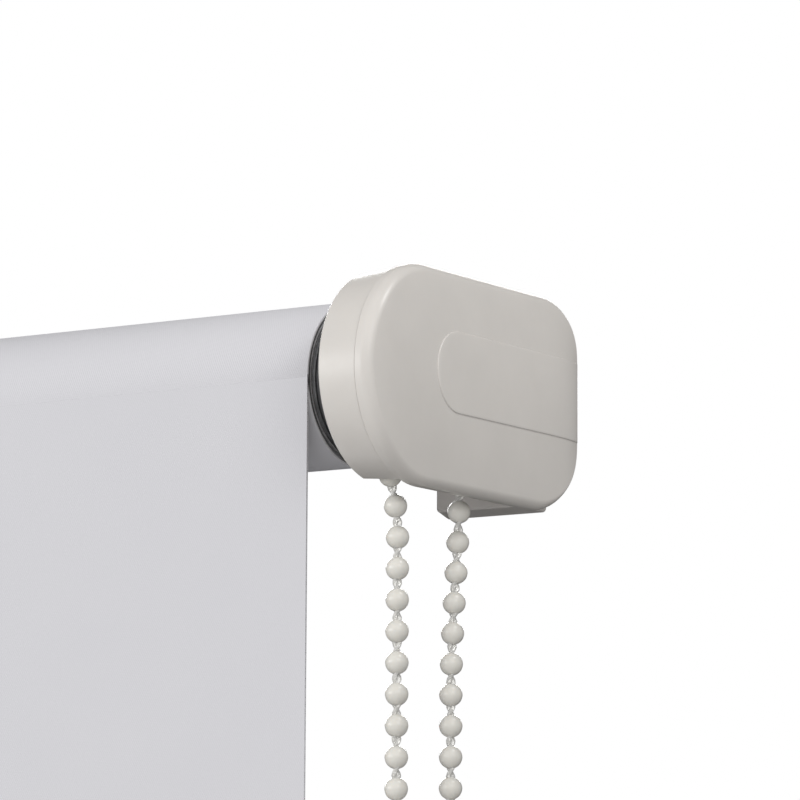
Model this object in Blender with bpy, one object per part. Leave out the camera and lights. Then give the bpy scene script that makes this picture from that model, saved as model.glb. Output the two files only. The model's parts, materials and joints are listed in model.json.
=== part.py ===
"""Chain-driven roller blind with covered end brackets, modelled as the pieces it is made of.

Metres, +Z up.  X runs along the roller, the control (chain) end is at +X, the wall is the plane Y = 0
and the room is on its -Y side.  The origin lies on the wall face of the control bracket, level with
the roller axis.  Pieces of the roller and of both ends are drawn around the roller axis and hang from
an empty that stands on it.
"""

import math

import bmesh
import bpy
from mathutils import Vector

# ---------------------------------------------------------------- driving sizes

# Whole blind
BLIND_WIDTH = 0.500            # outer face of the control cap to outer face of the idle cap
ORIGIN_TO_FACE = 0.013         # origin to the outer face of the control cap
AXIS_TO_WALL = 0.044           # roller axis to the wall
HEM_DROP = 0.650               # roller axis to the underside of the hem
CHAIN_DROP = 0.420             # roller axis to the axis of the tensioner pulley
FABRIC_SETBACK = 0.0245        # outer face of a cap to the cut edge of the fabric

# Clearances
GAP = 0.0003                   # between pieces that touch or are cut to fit each other
RUN_GAP = 0.0004               # between pieces that turn or slide against each other

# Bead chain
BEAD_DIAMETER = 0.0045
BEAD_PITCH = 0.006
WHEEL_BEADS = 13
PULLEY_BEADS = 10
CHAIN_DEPTH = 0.0079           # outer face of the control cap to the plane of the chain
WHEEL_RADIUS = WHEEL_BEADS * BEAD_PITCH / math.tau
PULLEY_RADIUS = PULLEY_BEADS * BEAD_PITCH / math.tau
BEAD_RADIUS = BEAD_DIAMETER / 2
STRAND_TOP = -0.018            # height at which the strands start to close up
FRONT_CLOSED = -0.030          # height at which the front strand has reached the pulley's width
REAR_CLOSED = -0.060           # height at which the rear strand has reached it
CONNECTOR_HEIGHT = -0.200
CONNECTOR_LENGTH = 0.013
CONNECTOR_RADIUS = 0.0029
CONNECTOR_END = 0.7            # radius of its ends as a share of its radius
CHAIN_STEPS = 25               # straight steps on each strand
BLEND_STEPS = 5                # steps where a strand closes up

# End covers: an obround housing band closed by a cap
COVER_HEIGHT = 0.0428
COVER_DROP = 0.00135           # centre line of the cover below the roller axis
COVER_NOSE_LEAD = 0.0110       # centre of the nose arc in front of the roller axis
COVER_WALL = 0.0015
COVER_DEPTH = 0.01185          # outer face of the cap to the rim of the housing
COVER_REAR_GAP = 0.0004        # rear edge of the cover to the wall
CORNER_TOP = 0.0115
CORNER_BOTTOM = 0.0145
CAP_DEPTH = 0.0029             # outer face of the cap to the parting line
CAP_FACE = 0.0017              # thickness of the cap's face
CAP_FILLET = 0.0018
HOUSING_DRAFT = 0.0007         # how far the rim stands inside the parting line
HOUSING_STEP = 0.00035         # how far the housing stands inside the cap at the parting line
HOUSING_START_ANGLE = 256.0    # the band starts here, in front of the chain opening
LIP_THICKNESS = 0.001
LIP_BOTTOM = -0.017
LIP_BORE = 0.0152
BADGE_RADIUS = 0.008
BADGE_LEAD = 0.0025
BADGE_THICKNESS = 0.0009
BADGE_PROUD = 0.0003
BADGE_STEPS = 16
PEG_RADIUS = 0.0021
PEG_OFFSET = 0.0085            # height of the cap's pegs above and below the roller axis
PEG_BEHIND = 0.017             # pegs behind the roller axis

# Brackets: a side plate inside the cap and a foot against the wall
PLATE_DEPTH = 0.00205          # outer face of the cap to the side plate
PLATE_THICKNESS = 0.002
PLATE_INSET = 0.0026
FOOT_DEPTH = 0.0108
FOOT_NEAR = 0.0075             # outer face of the cap to the near and far sides of the wall foot
FOOT_FAR = 0.0266
FOOT_SPLAY = 0.0046            # how much further the far side reaches at the wall
FOOT_BOTTOM = -0.0213
FOOT_TOP = 0.0178
FOOT_CORNER = 0.0008
FOOT_CORNER_STEPS = 4
TONGUE_BOTTOM = -0.011
TONGUE_TOP = 0.007
SOCKET_SIDE = 0.0106
BRACKET_SCREW_DEPTH = 0.0185
BRACKET_SCREW_UPPER = 0.0105
BRACKET_SCREW_LOWER = -0.0135

# Wall screws
SCREW_SHANK = 0.0018
SCREW_HEAD = 0.0037
SCREW_HEAD_HEIGHT = 0.0021
SCREW_IN_WALL = 0.022
SCREW_SEAT_DEPTH = 0.0042      # outside of a screw's head to the wall
SCREW_POINT_START = 0.8        # share of the length in the wall at which the point starts
SCREW_POINT_RADIUS = 0.0003
SCREW_STEPS = 16
SCREW_HOLE = SCREW_SHANK + GAP
SCREW_RECESS = SCREW_HEAD + GAP

# Clutch
HUB_FLANGE_RADIUS = 0.0145
HUB_FLANGE_THICKNESS = 0.001
AXLE_RADIUS = 0.0046
SPIGOT_SIDE = 0.010
WHEEL_FLANGE_RADIUS = 0.0134
WHEEL_SCALLOP = 0.0006
WHEEL_FLANGE_THICKNESS = 0.001
WHEEL_COLLAR_RADIUS = 0.008
WHEEL_COLLAR_END = 0.0219      # outer face of the cap to the end of the wheel's collar
WHEEL_RIM_STEPS = 6 * WHEEL_BEADS
TANG_INNER = 0.0062
TANG_OUTER = 0.0070
WHEEL_TANG_ANGLES = (60, 120)
WHEEL_TANG_END_GAP = 0.003     # end of the wheel's tang to the end of the adaptor's cavity
ADAPTOR_TANG_ANGLES = (235, 305)
GUIDE_THICKNESS = 0.0012
GUIDE_LEG = -0.013
GUIDE_STEPS = 24
BRAKE_WIRE = 0.0009
BRAKE_TURNS = 7
HUB_WASHER_RADIUS = 0.0062
HUB_WASHER_THICKNESS = 0.001
HUB_SCREW_HEAD = 0.0034
HUB_SCREW_HEAD_HEIGHT = 0.0018
HUB_SCREW_HEAD_EDGE = 0.0012   # straight part of the head's side
HUB_SCREW_HEAD_TOP = 0.7       # top of the head as a share of its radius
HUB_SCREW_SHANK = 0.0012
HUB_SCREW_LENGTH = 0.010       # end of the axle's plug to the screw's tip

# Roller
TUBE_RADIUS = 0.014
TUBE_WALL = 0.001
GROOVE_WIDTH = 0.0034
GROOVE_DEPTH = 0.002
SPLINE_HEIGHT = 0.0014
WOUND_THICKNESS = 0.0014       # fabric left on the tube; the sheet leaves it over its front, one layer out
PLUG_FLANGE_STEP = 0.0001      # outside of a plug's flange inside the outside of the tube
PLUG_FLANGE_THICKNESS = 0.0016
PLUG_CORE_STEP = 0.0036        # outside of a plug's core inside the outside of the tube
PLUG_BORE_RADIUS = 0.0074
PLUG_LENGTH = 0.027            # flange face to the end wall
PLUG_END_WALL = 0.004
PLUG_RIBS = 5
PLUG_RIB_WIDTH = 0.0024
PLUG_RIB_END_GAP = 0.002       # end of a rib to the end of the plug

# Idle end
PIN_RADIUS = 0.0029
PIN_COLLAR_RADIUS = 0.0050
PIN_COLLAR_THICKNESS = 0.0015
PIN_TAIL = 0.017               # collar to the end of the pin's tail
PIN_CHAMFER = 0.0008
BUSH_OUTER = 0.0048
BUSH_LENGTH = 0.0037
IDLE_BORE_RADIUS = 0.0054
IDLE_SPRING_WIRE = 0.0008
IDLE_SPRING_TURNS = 9

# Fabric and hem
FABRIC_THICKNESS = 0.0005
HEM_BAR_HEIGHT = 0.020
HEM_BAR_DEPTH = 0.006
HEM_BAR_WALL = 0.001
HEM_BAR_SETBACK = 0.001        # fabric edge to the end of the hem bar
HEM_CAP_RIM = 0.0011
HEM_CAP_THICKNESS = 0.0015
HEM_CAP_PLUG = 0.012

# Chain tensioner
FORK_THICKNESS = 0.002
FORK_RADIUS = 0.0130
FORK_BASE_HALF_WIDTH = 0.011
FORK_BASE_HALF_HEIGHT = 0.026
FORK_BASE_THICKNESS = 0.0045
FORK_SCREW_OFFSET = 0.020
PULLEY_FLANGE_RADIUS = 0.0110
PULLEY_FLANGE_THICKNESS = 0.001
PULLEY_PIN_RADIUS = 0.002
PULLEY_PIN_HEAD = 0.0033
PULLEY_PIN_HEAD_THICKNESS = 0.0012
PULLEY_PIN_HEAD_TOP = 0.7      # top of the head as a share of its radius

# Overlap of a body that is joined to another or cuts through it
REACH = 0.001

# Roundness of the faceted surfaces
ROUND_STEPS = 40
SMALL_STEPS = 20
NOSE_STEPS = 22
CORNER_STEPS = 8

# ---------------------------------------------------------------- sizes that follow from the ones above

CONTROL = 1
IDLE = -1
REAR = AXIS_TO_WALL - COVER_REAR_GAP
COVER_HALF = COVER_HEIGHT / 2
COVER_TOP = COVER_HALF - COVER_DROP
COVER_BOTTOM = -COVER_HALF - COVER_DROP
FOOT_FRONT = AXIS_TO_WALL - FOOT_DEPTH
SCREW_SEAT = AXIS_TO_WALL - SCREW_SEAT_DEPTH
PLATE_FAR = PLATE_DEPTH + PLATE_THICKNESS
HUB_FLANGE_NEAR = CHAIN_DEPTH - BEAD_RADIUS - GAP - HUB_FLANGE_THICKNESS
WHEEL_NEAR = CHAIN_DEPTH - BEAD_RADIUS
WHEEL_FLANGE_NEAR = CHAIN_DEPTH + BEAD_RADIUS + GAP
WHEEL_FLANGE_FAR = WHEEL_FLANGE_NEAR + WHEEL_FLANGE_THICKNESS
WHEEL_CORE_RADIUS = WHEEL_RADIUS - BEAD_RADIUS - RUN_GAP
PULLEY_CORE_RADIUS = PULLEY_RADIUS - BEAD_RADIUS - RUN_GAP
GUIDE_INNER = WHEEL_RADIUS + BEAD_RADIUS + RUN_GAP
ROLL_RADIUS = TUBE_RADIUS + WOUND_THICKNESS
TUBE_SETBACK = FABRIC_SETBACK - GAP
PLUG_FLANGE_RADIUS = TUBE_RADIUS - PLUG_FLANGE_STEP
PLUG_CORE_RADIUS = TUBE_RADIUS - PLUG_CORE_STEP
PLUG_FLANGE_FAR = TUBE_SETBACK - GAP
PLUG_FLANGE_NEAR = PLUG_FLANGE_FAR - PLUG_FLANGE_THICKNESS
PLUG_CAVITY_END = PLUG_FLANGE_NEAR + PLUG_LENGTH
PLUG_END = PLUG_CAVITY_END + PLUG_END_WALL
AXLE_BORE = AXLE_RADIUS + RUN_GAP
BRAKE_RADIUS = AXLE_BORE + BRAKE_WIRE / 2
AXLE_END = PLUG_END + GAP
HEM_BOTTOM = -HEM_DROP
SHEET_LEAD = ROLL_RADIUS + GAP + FABRIC_THICKNESS / 2
HEM_POCKET_HEIGHT = HEM_BAR_HEIGHT + 2 * (GAP + FABRIC_THICKNESS)
HEM_POCKET_DEPTH = HEM_BAR_DEPTH + 2 * (GAP + FABRIC_THICKNESS)
HEM_CENTRE = HEM_BOTTOM + HEM_POCKET_HEIGHT / 2
HEM_POCKET_TOP = HEM_BOTTOM + HEM_POCKET_HEIGHT


def station(side, depth):
    """X of a plane that lies `depth` inwards from the outer face of the cap on that side."""
    face = ORIGIN_TO_FACE if side == CONTROL else ORIGIN_TO_FACE - BLIND_WIDTH
    return face - side * depth


CHAIN_X = station(CONTROL, CHAIN_DEPTH)
FABRIC_RIGHT = station(CONTROL, FABRIC_SETBACK)
FABRIC_LEFT = station(IDLE, FABRIC_SETBACK)

# ---------------------------------------------------------------- scene and materials


def clear_scene():
    """Remove every object, so that the script gives the same scene each time it runs."""
    for item in list(bpy.data.objects):
        bpy.data.objects.remove(item, do_unlink=True)


def material(name, colour, roughness, metallic=0.0):
    """A Principled material with one colour."""
    made = bpy.data.materials.new(name)
    made.use_nodes = True
    shader = made.node_tree.nodes["Principled BSDF"]
    shader.inputs["Base Color"].default_value = (*colour, 1.0)
    shader.inputs["Roughness"].default_value = roughness
    shader.inputs["Metallic"].default_value = metallic
    made.diffuse_color = (*colour, 1.0)
    return made


def make_materials():
    """All materials of the blind, by name."""
    return {
        "cover": material("cover_plastic", (0.66, 0.63, 0.58), 0.35),
        "bracket": material("bracket_plastic", (0.55, 0.53, 0.49), 0.45),
        "badge": material("badge_plastic", (0.67, 0.64, 0.59), 0.30),
        "chain": material("chain_plastic", (0.60, 0.58, 0.53), 0.35),
        "clear": material("clear_plastic", (0.80, 0.80, 0.78), 0.20),
        "hub": material("hub_nylon", (0.16, 0.16, 0.17), 0.50),
        "wheel": material("wheel_acetal", (0.62, 0.60, 0.56), 0.40),
        "plug": material("plug_nylon", (0.20, 0.20, 0.21), 0.55),
        "spring": material("spring_steel", (0.55, 0.55, 0.56), 0.30, 1.0),
        "screw": material("zinc_steel", (0.70, 0.70, 0.71), 0.30, 1.0),
        "tube": material("mill_aluminium", (0.78, 0.79, 0.80), 0.35, 1.0),
        "fabric": material("white_fabric", (0.70, 0.71, 0.74), 0.85),
        "roll": material("rolled_fabric", (0.66, 0.67, 0.70), 0.85),
        "spline": material("spline_pvc", (0.75, 0.75, 0.73), 0.50),
        "hem": material("hem_aluminium", (0.80, 0.80, 0.81), 0.35, 1.0),
    }


# ---------------------------------------------------------------- building tools


def add_object(name, mesh, finish, parent=None):
    """Link a mesh to the scene under its name, shaded smooth up to its sharp edges."""
    mesh.materials.append(finish)
    mesh.shade_smooth()
    mesh.set_sharp_from_angle(angle=math.radians(32))
    made = bpy.data.objects.new(name, mesh)
    bpy.context.scene.collection.objects.link(made)
    made.parent = parent
    return made


def add_empty(name, location):
    """An empty that carries the pieces of one moving group."""
    made = bpy.data.objects.new(name, None)
    made.location = location
    bpy.context.scene.collection.objects.link(made)
    return made


def loft(loops, closed=False):
    """A mesh through loops that have equally many points; open ends are capped."""
    work = bmesh.new()
    rings = [[work.verts.new(point) for point in loop] for loop in loops]
    count = len(rings[0])
    pairs = list(zip(rings, rings[1:]))
    if closed:
        pairs.append((rings[-1], rings[0]))
    for first, second in pairs:
        for index in range(count):
            following = (index + 1) % count
            work.faces.new((first[index], first[following], second[following], second[index]))
    if not closed:
        work.faces.new(rings[0])
        work.faces.new(rings[-1])
    bmesh.ops.recalc_face_normals(work, faces=work.faces)
    mesh = bpy.data.meshes.new("mesh")
    work.to_mesh(mesh)
    work.free()
    return mesh


def loop_at(x, outline):
    """An outline of (y, z) points, set at one X."""
    return [(x, y, z) for y, z in outline]


def prism(outline, x_start, x_end):
    """A solid with the same outline all along X."""
    return loft([loop_at(x_start, outline), loop_at(x_end, outline)])


def sleeve(outer, inner, x_start, x_end):
    """A hollow prism, open at both ends; both outlines have equally many points."""
    return loft(
        [loop_at(x_start, outer), loop_at(x_end, outer), loop_at(x_end, inner), loop_at(x_start, inner)],
        closed=True,
    )


def block(low, high):
    """A box between two corners."""
    outline = [(low[1], low[2]), (high[1], low[2]), (high[1], high[2]), (low[1], high[2])]
    return prism(outline, low[0], high[0])


def circle(radius, steps=ROUND_STEPS, centre=(0.0, 0.0)):
    """Points (y, z) around a circle."""
    angles = [math.tau * index / steps for index in range(steps)]
    return [(centre[0] + radius * math.cos(a), centre[1] + radius * math.sin(a)) for a in angles]


def arc(centre, radius, start, end, steps):
    """Points (y, z) along an arc, both ends included; degrees, from +Y towards +Z."""
    angles = [math.radians(start + (end - start) * index / steps) for index in range(steps + 1)]
    return [(centre[0] + radius * math.cos(a), centre[1] + radius * math.sin(a)) for a in angles]


def turned(profile, steps=ROUND_STEPS, bored=False):
    """A turned body about the X axis through (x, radius) points; a bored body closes on itself."""
    return loft([loop_at(x, circle(radius, steps)) for x, radius in profile], closed=bored)


def sector(inner, outer, start, end, x_start, x_end, steps=8):
    """A piece of a ring about the X axis."""
    outline = arc((0, 0), outer, start, end, steps) + arc((0, 0), inner, end, start, steps)
    return prism(outline, x_start, x_end)


def coil(radius, wire, turns, x_start, x_end, steps=14, sides=6):
    """A helical spring about the X axis, with capped wire ends."""
    count = turns * steps
    loops = []
    for index in range(count + 1):
        share = index / count
        angle = math.tau * turns * share
        centre = Vector((x_start + (x_end - x_start) * share, 0, 0))
        outward = Vector((0, math.cos(angle), math.sin(angle)))
        along = Vector((1, 0, 0))
        ring = []
        for side in range(sides):
            turn = math.tau * side / sides
            offset = outward * math.cos(turn) + along * math.sin(turn)
            ring.append(centre + outward * radius + offset * wire / 2)
        loops.append(ring)
    return loft(loops)


def combine(target, tool_mesh, operation, name):
    """Add or cut a helper body with an exact Boolean; the helper itself isn't part of the blind."""
    helper = bpy.data.objects.new(name, tool_mesh)
    bpy.context.scene.collection.objects.link(helper)
    helper.parent = target.parent
    helper.hide_render = True
    helper.display_type = "WIRE"
    change = target.modifiers.new(name, "BOOLEAN")
    change.operation = operation
    change.object = helper
    change.solver = "EXACT"
    return helper


def cut(target, tool_mesh, name):
    """Cut a helper body out of the target."""
    return combine(target, tool_mesh, "DIFFERENCE", name)


def fuse(target, tool_mesh, name):
    """Join a helper body to the target."""
    return combine(target, tool_mesh, "UNION", name)


def facing_wall(profile, x, z, steps=SMALL_STEPS):
    """A turned body along Y through (y, radius) points, about a line at x, z."""
    loops = [[(x + dy, y, z + dz) for dy, dz in circle(radius, steps)] for y, radius in profile]
    return loft(loops)


# ---------------------------------------------------------------- outlines shared by covers and brackets


def cover_outline(inset=0.0, flush_rear=False):
    """The obround side view of a cover: round nose, straight top and bottom, rounded rear corners."""
    points = arc((-COVER_NOSE_LEAD, -COVER_DROP), COVER_HALF - inset, 270, 90, NOSE_STEPS)
    top_centre = (REAR - CORNER_TOP, COVER_TOP - CORNER_TOP)
    points += arc(top_centre, CORNER_TOP - inset, 90, 0, CORNER_STEPS)
    bottom_centre = (REAR - CORNER_BOTTOM, COVER_BOTTOM + CORNER_BOTTOM)
    points += arc(bottom_centre, CORNER_BOTTOM - inset, 0, -90, CORNER_STEPS)
    if flush_rear:
        points = [(stretch_to_rear(y, inset), z) for y, z in points]
    return points


def stretch_to_rear(y, inset):
    """Move a point of an inset outline back, so that the outline still reaches the rear edge."""
    start = REAR - CORNER_TOP
    if y <= start:
        return y
    return start + (y - start) * CORNER_TOP / (CORNER_TOP - inset)


def housing_end_angle():
    """Angle on the rear top corner at which the housing band stops short of the wall foot."""
    reach = FOOT_FRONT - GAP - (REAR - CORNER_TOP)
    return math.degrees(math.acos(min(1.0, max(0.0, reach / CORNER_TOP))))


def band_path(inset, start_angle):
    """The part of the cover outline that the housing band follows, from the nose to the rear top corner."""
    points = arc((-COVER_NOSE_LEAD, -COVER_DROP), COVER_HALF - inset, start_angle, 90, NOSE_STEPS)
    top_centre = (REAR - CORNER_TOP, COVER_TOP - CORNER_TOP)
    points += arc(top_centre, CORNER_TOP - inset, 90, housing_end_angle(), CORNER_STEPS)
    return points


def obround(half_depth, half_height, steps=8):
    """An upright obround about (0, 0): straight sides and round top and bottom."""
    straight = half_height - half_depth
    upper = arc((0, straight), half_depth, 0, 180, steps)
    lower = arc((0, -straight), half_depth, 180, 360, steps)
    return upper + lower


# ---------------------------------------------------------------- end covers


def build_housing(side, prefix, finish, axis):
    """The band between the roller and the cap, open below for the chain, with a lip towards the roller."""
    rim = HOUSING_STEP + HOUSING_DRAFT
    rim_x = station(side, COVER_DEPTH)
    parting_x = station(side, CAP_DEPTH + GAP / 2)
    loops = []
    for x, inset in ((rim_x, rim), (parting_x, HOUSING_STEP)):
        outer = band_path(inset, HOUSING_START_ANGLE)
        inner = band_path(inset + COVER_WALL, HOUSING_START_ANGLE)
        loops.append(loop_at(x, outer + inner[::-1]))
    housing = add_object(prefix + "_housing", loft(loops), finish, axis)
    lip_inset = rim + COVER_WALL / 2
    lip_radius = COVER_HALF - lip_inset
    lip_angle = 180 + math.degrees(math.asin((-COVER_DROP - LIP_BOTTOM) / lip_radius))
    lip = band_path(lip_inset, lip_angle)
    lip.append((lip[-1][0], LIP_BOTTOM))
    fuse(housing, prism(lip, rim_x, station(side, COVER_DEPTH - LIP_THICKNESS)), prefix + "_lip")
    bore = prism(circle(LIP_BORE), rim_x - side * COVER_WALL, rim_x + side * 2 * COVER_WALL)
    cut(housing, bore, prefix + "_lip_bore")
    return housing


def build_cap(side, prefix, finish, axis):
    """The cap that closes a cover, with a filleted face, a seat for the badge and two pegs."""
    open_x = station(side, CAP_DEPTH)
    loops = [
        loop_at(station(side, CAP_FACE), cover_outline(CAP_FILLET + GAP)),
        loop_at(open_x, cover_outline(COVER_WALL)),
        loop_at(open_x, cover_outline(0.0)),
    ]
    fillet_steps = 4
    for index in range(fillet_steps + 1):
        angle = math.pi / 2 * index / fillet_steps
        depth = CAP_FILLET * (1 - math.sin(angle))
        inset = CAP_FILLET * (1 - math.cos(angle))
        loops.append(loop_at(station(side, depth), cover_outline(inset, flush_rear=True)))
    cap = add_object(prefix + "_cap", loft(loops), finish, axis)
    for number, height in enumerate((PEG_OFFSET, -PEG_OFFSET)):
        peg = circle(PEG_RADIUS, SMALL_STEPS, (PEG_BEHIND, height))
        solid_peg = prism(peg, station(side, CAP_FACE / 2), station(side, PLATE_FAR))
        fuse(cap, solid_peg, f"{prefix}_peg_{number}")
    seat = badge_outline(BADGE_RADIUS + GAP, REAR + COVER_WALL)
    seat_depth = BADGE_THICKNESS - BADGE_PROUD + GAP
    cut(cap, prism(seat, station(side, seat_depth), station(side, -COVER_WALL)), prefix + "_badge_seat")
    notch_x = sorted((station(side, CAP_FACE), station(side, CAP_DEPTH + COVER_WALL)))
    notch_low = (notch_x[0], REAR - 3 * COVER_WALL, TONGUE_BOTTOM - 2 * GAP)
    notch_high = (notch_x[1], REAR + COVER_WALL, TONGUE_TOP + 2 * GAP)
    cut(cap, block(notch_low, notch_high), prefix + "_cap_notch")
    return cap


def badge_outline(radius, rear):
    """The badge's side view: a round end in front of the roller axis, run out straight to the rear."""
    return arc((-BADGE_LEAD, 0), radius, 270, 90, BADGE_STEPS) + [(rear, radius), (rear, -radius)]


def build_badge(side, prefix, finish, axis):
    """The blank plate let into the face of a cap."""
    outline = badge_outline(BADGE_RADIUS, REAR - GAP)
    low = station(side, BADGE_THICKNESS - BADGE_PROUD)
    return add_object(prefix + "_badge", prism(outline, low, station(side, -BADGE_PROUD)), finish, axis)


# ---------------------------------------------------------------- brackets


def screw_cutter(x, z, seat, front):
    """The hole for a countersunk wall screw: its head sits at y = seat, in a well from y = front."""
    profile = [
        (AXIS_TO_WALL + REACH, SCREW_HOLE),
        (seat + SCREW_HEAD_HEIGHT + GAP, SCREW_HOLE),
        (seat + GAP, SCREW_RECESS),
        (front - REACH, SCREW_RECESS),
    ]
    return facing_wall(profile, x, z)


def foot_mesh(side):
    """The wall foot: a block with rounded upper and lower corners, its far side splayed towards the wall."""
    corner = FOOT_CORNER
    loops = []
    soft = corner / 2
    at_wall = (AXIS_TO_WALL, 0.0, 1.0)
    before_front = (FOOT_FRONT + soft, 0.0, soft / FOOT_DEPTH)
    at_front = (FOOT_FRONT, soft, 0.0)
    sections = (at_wall, before_front, at_front)
    for y, inset, splay in sections:
        far = FOOT_FAR + FOOT_SPLAY * splay
        x_low, x_high = sorted((station(side, FOOT_NEAR), station(side, far)))
        loop = []
        for cx, cz, start in (
            (x_high - corner, FOOT_TOP - corner, 0),
            (x_low + corner, FOOT_TOP - corner, 90),
            (x_low + corner, FOOT_BOTTOM + corner, 180),
            (x_high - corner, FOOT_BOTTOM + corner, 270),
        ):
            rounded = arc((cx, cz), corner - inset, start, start + 90, FOOT_CORNER_STEPS)
            loop += [(x, y, z) for x, z in rounded]
        loops.append(loop)
    return loft(loops)


def build_bracket(side, prefix, finish, axis):
    """A bracket: foot on the wall, tongue and side plate, with the socket that carries the roller."""
    bracket = add_object(prefix + "_bracket", foot_mesh(side), finish, axis)
    plate = prism(cover_outline(PLATE_INSET), station(side, PLATE_DEPTH), station(side, PLATE_FAR))
    fuse(bracket, plate, prefix + "_side_plate")
    tongue_x = sorted((station(side, PLATE_DEPTH), station(side, FOOT_NEAR + FOOT_CORNER)))
    low = (tongue_x[0], FOOT_FRONT, TONGUE_BOTTOM)
    high = (tongue_x[1], AXIS_TO_WALL, TONGUE_TOP)
    fuse(bracket, block(low, high), prefix + "_tongue")
    through = (station(side, PLATE_DEPTH - GAP), station(side, PLATE_FAR + GAP))
    if side == CONTROL:
        half = SOCKET_SIDE / 2
        socket = prism([(-half, -half), (half, -half), (half, half), (-half, half)], *through)
    else:
        socket = prism(circle(PIN_RADIUS + GAP, SMALL_STEPS), *through)
    cut(bracket, socket, prefix + "_socket")
    for number, height in enumerate((PEG_OFFSET, -PEG_OFFSET)):
        hole = circle(PEG_RADIUS + GAP, SMALL_STEPS, (PEG_BEHIND, height))
        cut(bracket, prism(hole, *through), f"{prefix}_peg_hole_{number}")
    for number, height in enumerate((BRACKET_SCREW_UPPER, BRACKET_SCREW_LOWER)):
        cutter = screw_cutter(station(side, BRACKET_SCREW_DEPTH), height, SCREW_SEAT, FOOT_FRONT)
        cut(bracket, cutter, f"{prefix}_screw_hole_{number}")
    return bracket


def build_wall_screw(name, x, z, finish, axis):
    """A countersunk wall screw, its head at the screw seat."""
    profile = [
        (SCREW_SEAT + GAP, SCREW_HEAD),
        (SCREW_SEAT + GAP + SCREW_HEAD_HEIGHT, SCREW_SHANK),
        (AXIS_TO_WALL + SCREW_IN_WALL * SCREW_POINT_START, SCREW_SHANK),
        (AXIS_TO_WALL + SCREW_IN_WALL, SCREW_POINT_RADIUS),
    ]
    return add_object(name, facing_wall(profile, x, z, SCREW_STEPS), finish, axis)


def build_bracket_screws(side, prefix, finish, axis):
    """The two wall screws of one bracket."""
    x = station(side, BRACKET_SCREW_DEPTH)
    build_wall_screw(prefix + "_wall_screw_upper", x, BRACKET_SCREW_UPPER, finish, axis)
    build_wall_screw(prefix + "_wall_screw_lower", x, BRACKET_SCREW_LOWER, finish, axis)


# ---------------------------------------------------------------- clutch in the control end


def build_hub(finish, axis):
    """The fixed axle: square spigot in the bracket, flange beside the chain, long journal in the roller."""
    near = station(CONTROL, HUB_FLANGE_NEAR)
    far = station(CONTROL, HUB_FLANGE_NEAR + HUB_FLANGE_THICKNESS)
    end = station(CONTROL, AXLE_END)
    profile = [(near, HUB_FLANGE_RADIUS), (far, HUB_FLANGE_RADIUS), (far, AXLE_RADIUS), (end, AXLE_RADIUS)]
    hub = add_object("clutch_hub", turned(profile), finish, axis)
    half = SPIGOT_SIDE / 2
    square = [(-half, -half), (half, -half), (half, half), (-half, half)]
    spigot = prism(square, station(CONTROL, CAP_FACE + GAP), station(CONTROL, HUB_FLANGE_NEAR + GAP))
    fuse(hub, spigot, "hub_spigot")
    screw_room = HUB_SCREW_SHANK + GAP
    bottom = station(CONTROL, PLUG_END - HUB_SCREW_LENGTH - REACH)
    hole = prism(circle(screw_room, SMALL_STEPS), bottom, end - REACH)
    cut(hub, hole, "hub_screw_hole")
    return hub


def build_chain_wheel(finish, axis):
    """The wheel that the chain drives: core, scalloped flange, collar, and a tang that works the brake."""
    profile = [
        (station(CONTROL, WHEEL_NEAR), WHEEL_CORE_RADIUS),
        (station(CONTROL, WHEEL_FLANGE_FAR), WHEEL_CORE_RADIUS),
        (station(CONTROL, WHEEL_FLANGE_FAR), WHEEL_COLLAR_RADIUS),
        (station(CONTROL, WHEEL_COLLAR_END), WHEEL_COLLAR_RADIUS),
        (station(CONTROL, WHEEL_COLLAR_END), AXLE_BORE),
        (station(CONTROL, WHEEL_NEAR), AXLE_BORE),
    ]
    wheel = add_object("chain_wheel", turned(profile, bored=True), finish, axis)
    rim = []
    for index in range(WHEEL_RIM_STEPS):
        angle = math.tau * index / WHEEL_RIM_STEPS
        radius = WHEEL_FLANGE_RADIUS + WHEEL_SCALLOP * math.cos(WHEEL_BEADS * angle)
        rim.append((radius * math.cos(angle), radius * math.sin(angle)))
    rim_x = station(CONTROL, WHEEL_FLANGE_NEAR), station(CONTROL, WHEEL_FLANGE_FAR - GAP)
    inner = circle(WHEEL_COLLAR_RADIUS - GAP, WHEEL_RIM_STEPS)
    fuse(wheel, sleeve(rim, inner, *rim_x), "wheel_flange")
    start = station(CONTROL, WHEEL_COLLAR_END - REACH)
    tang_end = station(CONTROL, PLUG_CAVITY_END - WHEEL_TANG_END_GAP)
    fuse(wheel, sector(TANG_INNER, TANG_OUTER, *WHEEL_TANG_ANGLES, start, tang_end), "wheel_tang")
    return wheel


def build_chain_guide(finish, axis):
    """The horseshoe around the chain wheel that keeps the beads in place."""
    outer_radius = GUIDE_INNER + GUIDE_THICKNESS
    outer = [(outer_radius, GUIDE_LEG)]
    outer += arc((0, 0), outer_radius, 0, 180, GUIDE_STEPS)
    outer += [(-outer_radius, GUIDE_LEG)]
    inner = [(-GUIDE_INNER, GUIDE_LEG)]
    inner += arc((0, 0), GUIDE_INNER, 180, 0, GUIDE_STEPS)
    inner += [(GUIDE_INNER, GUIDE_LEG)]
    near = station(CONTROL, PLATE_FAR + GAP)
    far = station(CONTROL, COVER_DEPTH - LIP_THICKNESS - GAP)
    return add_object("chain_guide", prism(outer + inner, near, far), finish, axis)


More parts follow.
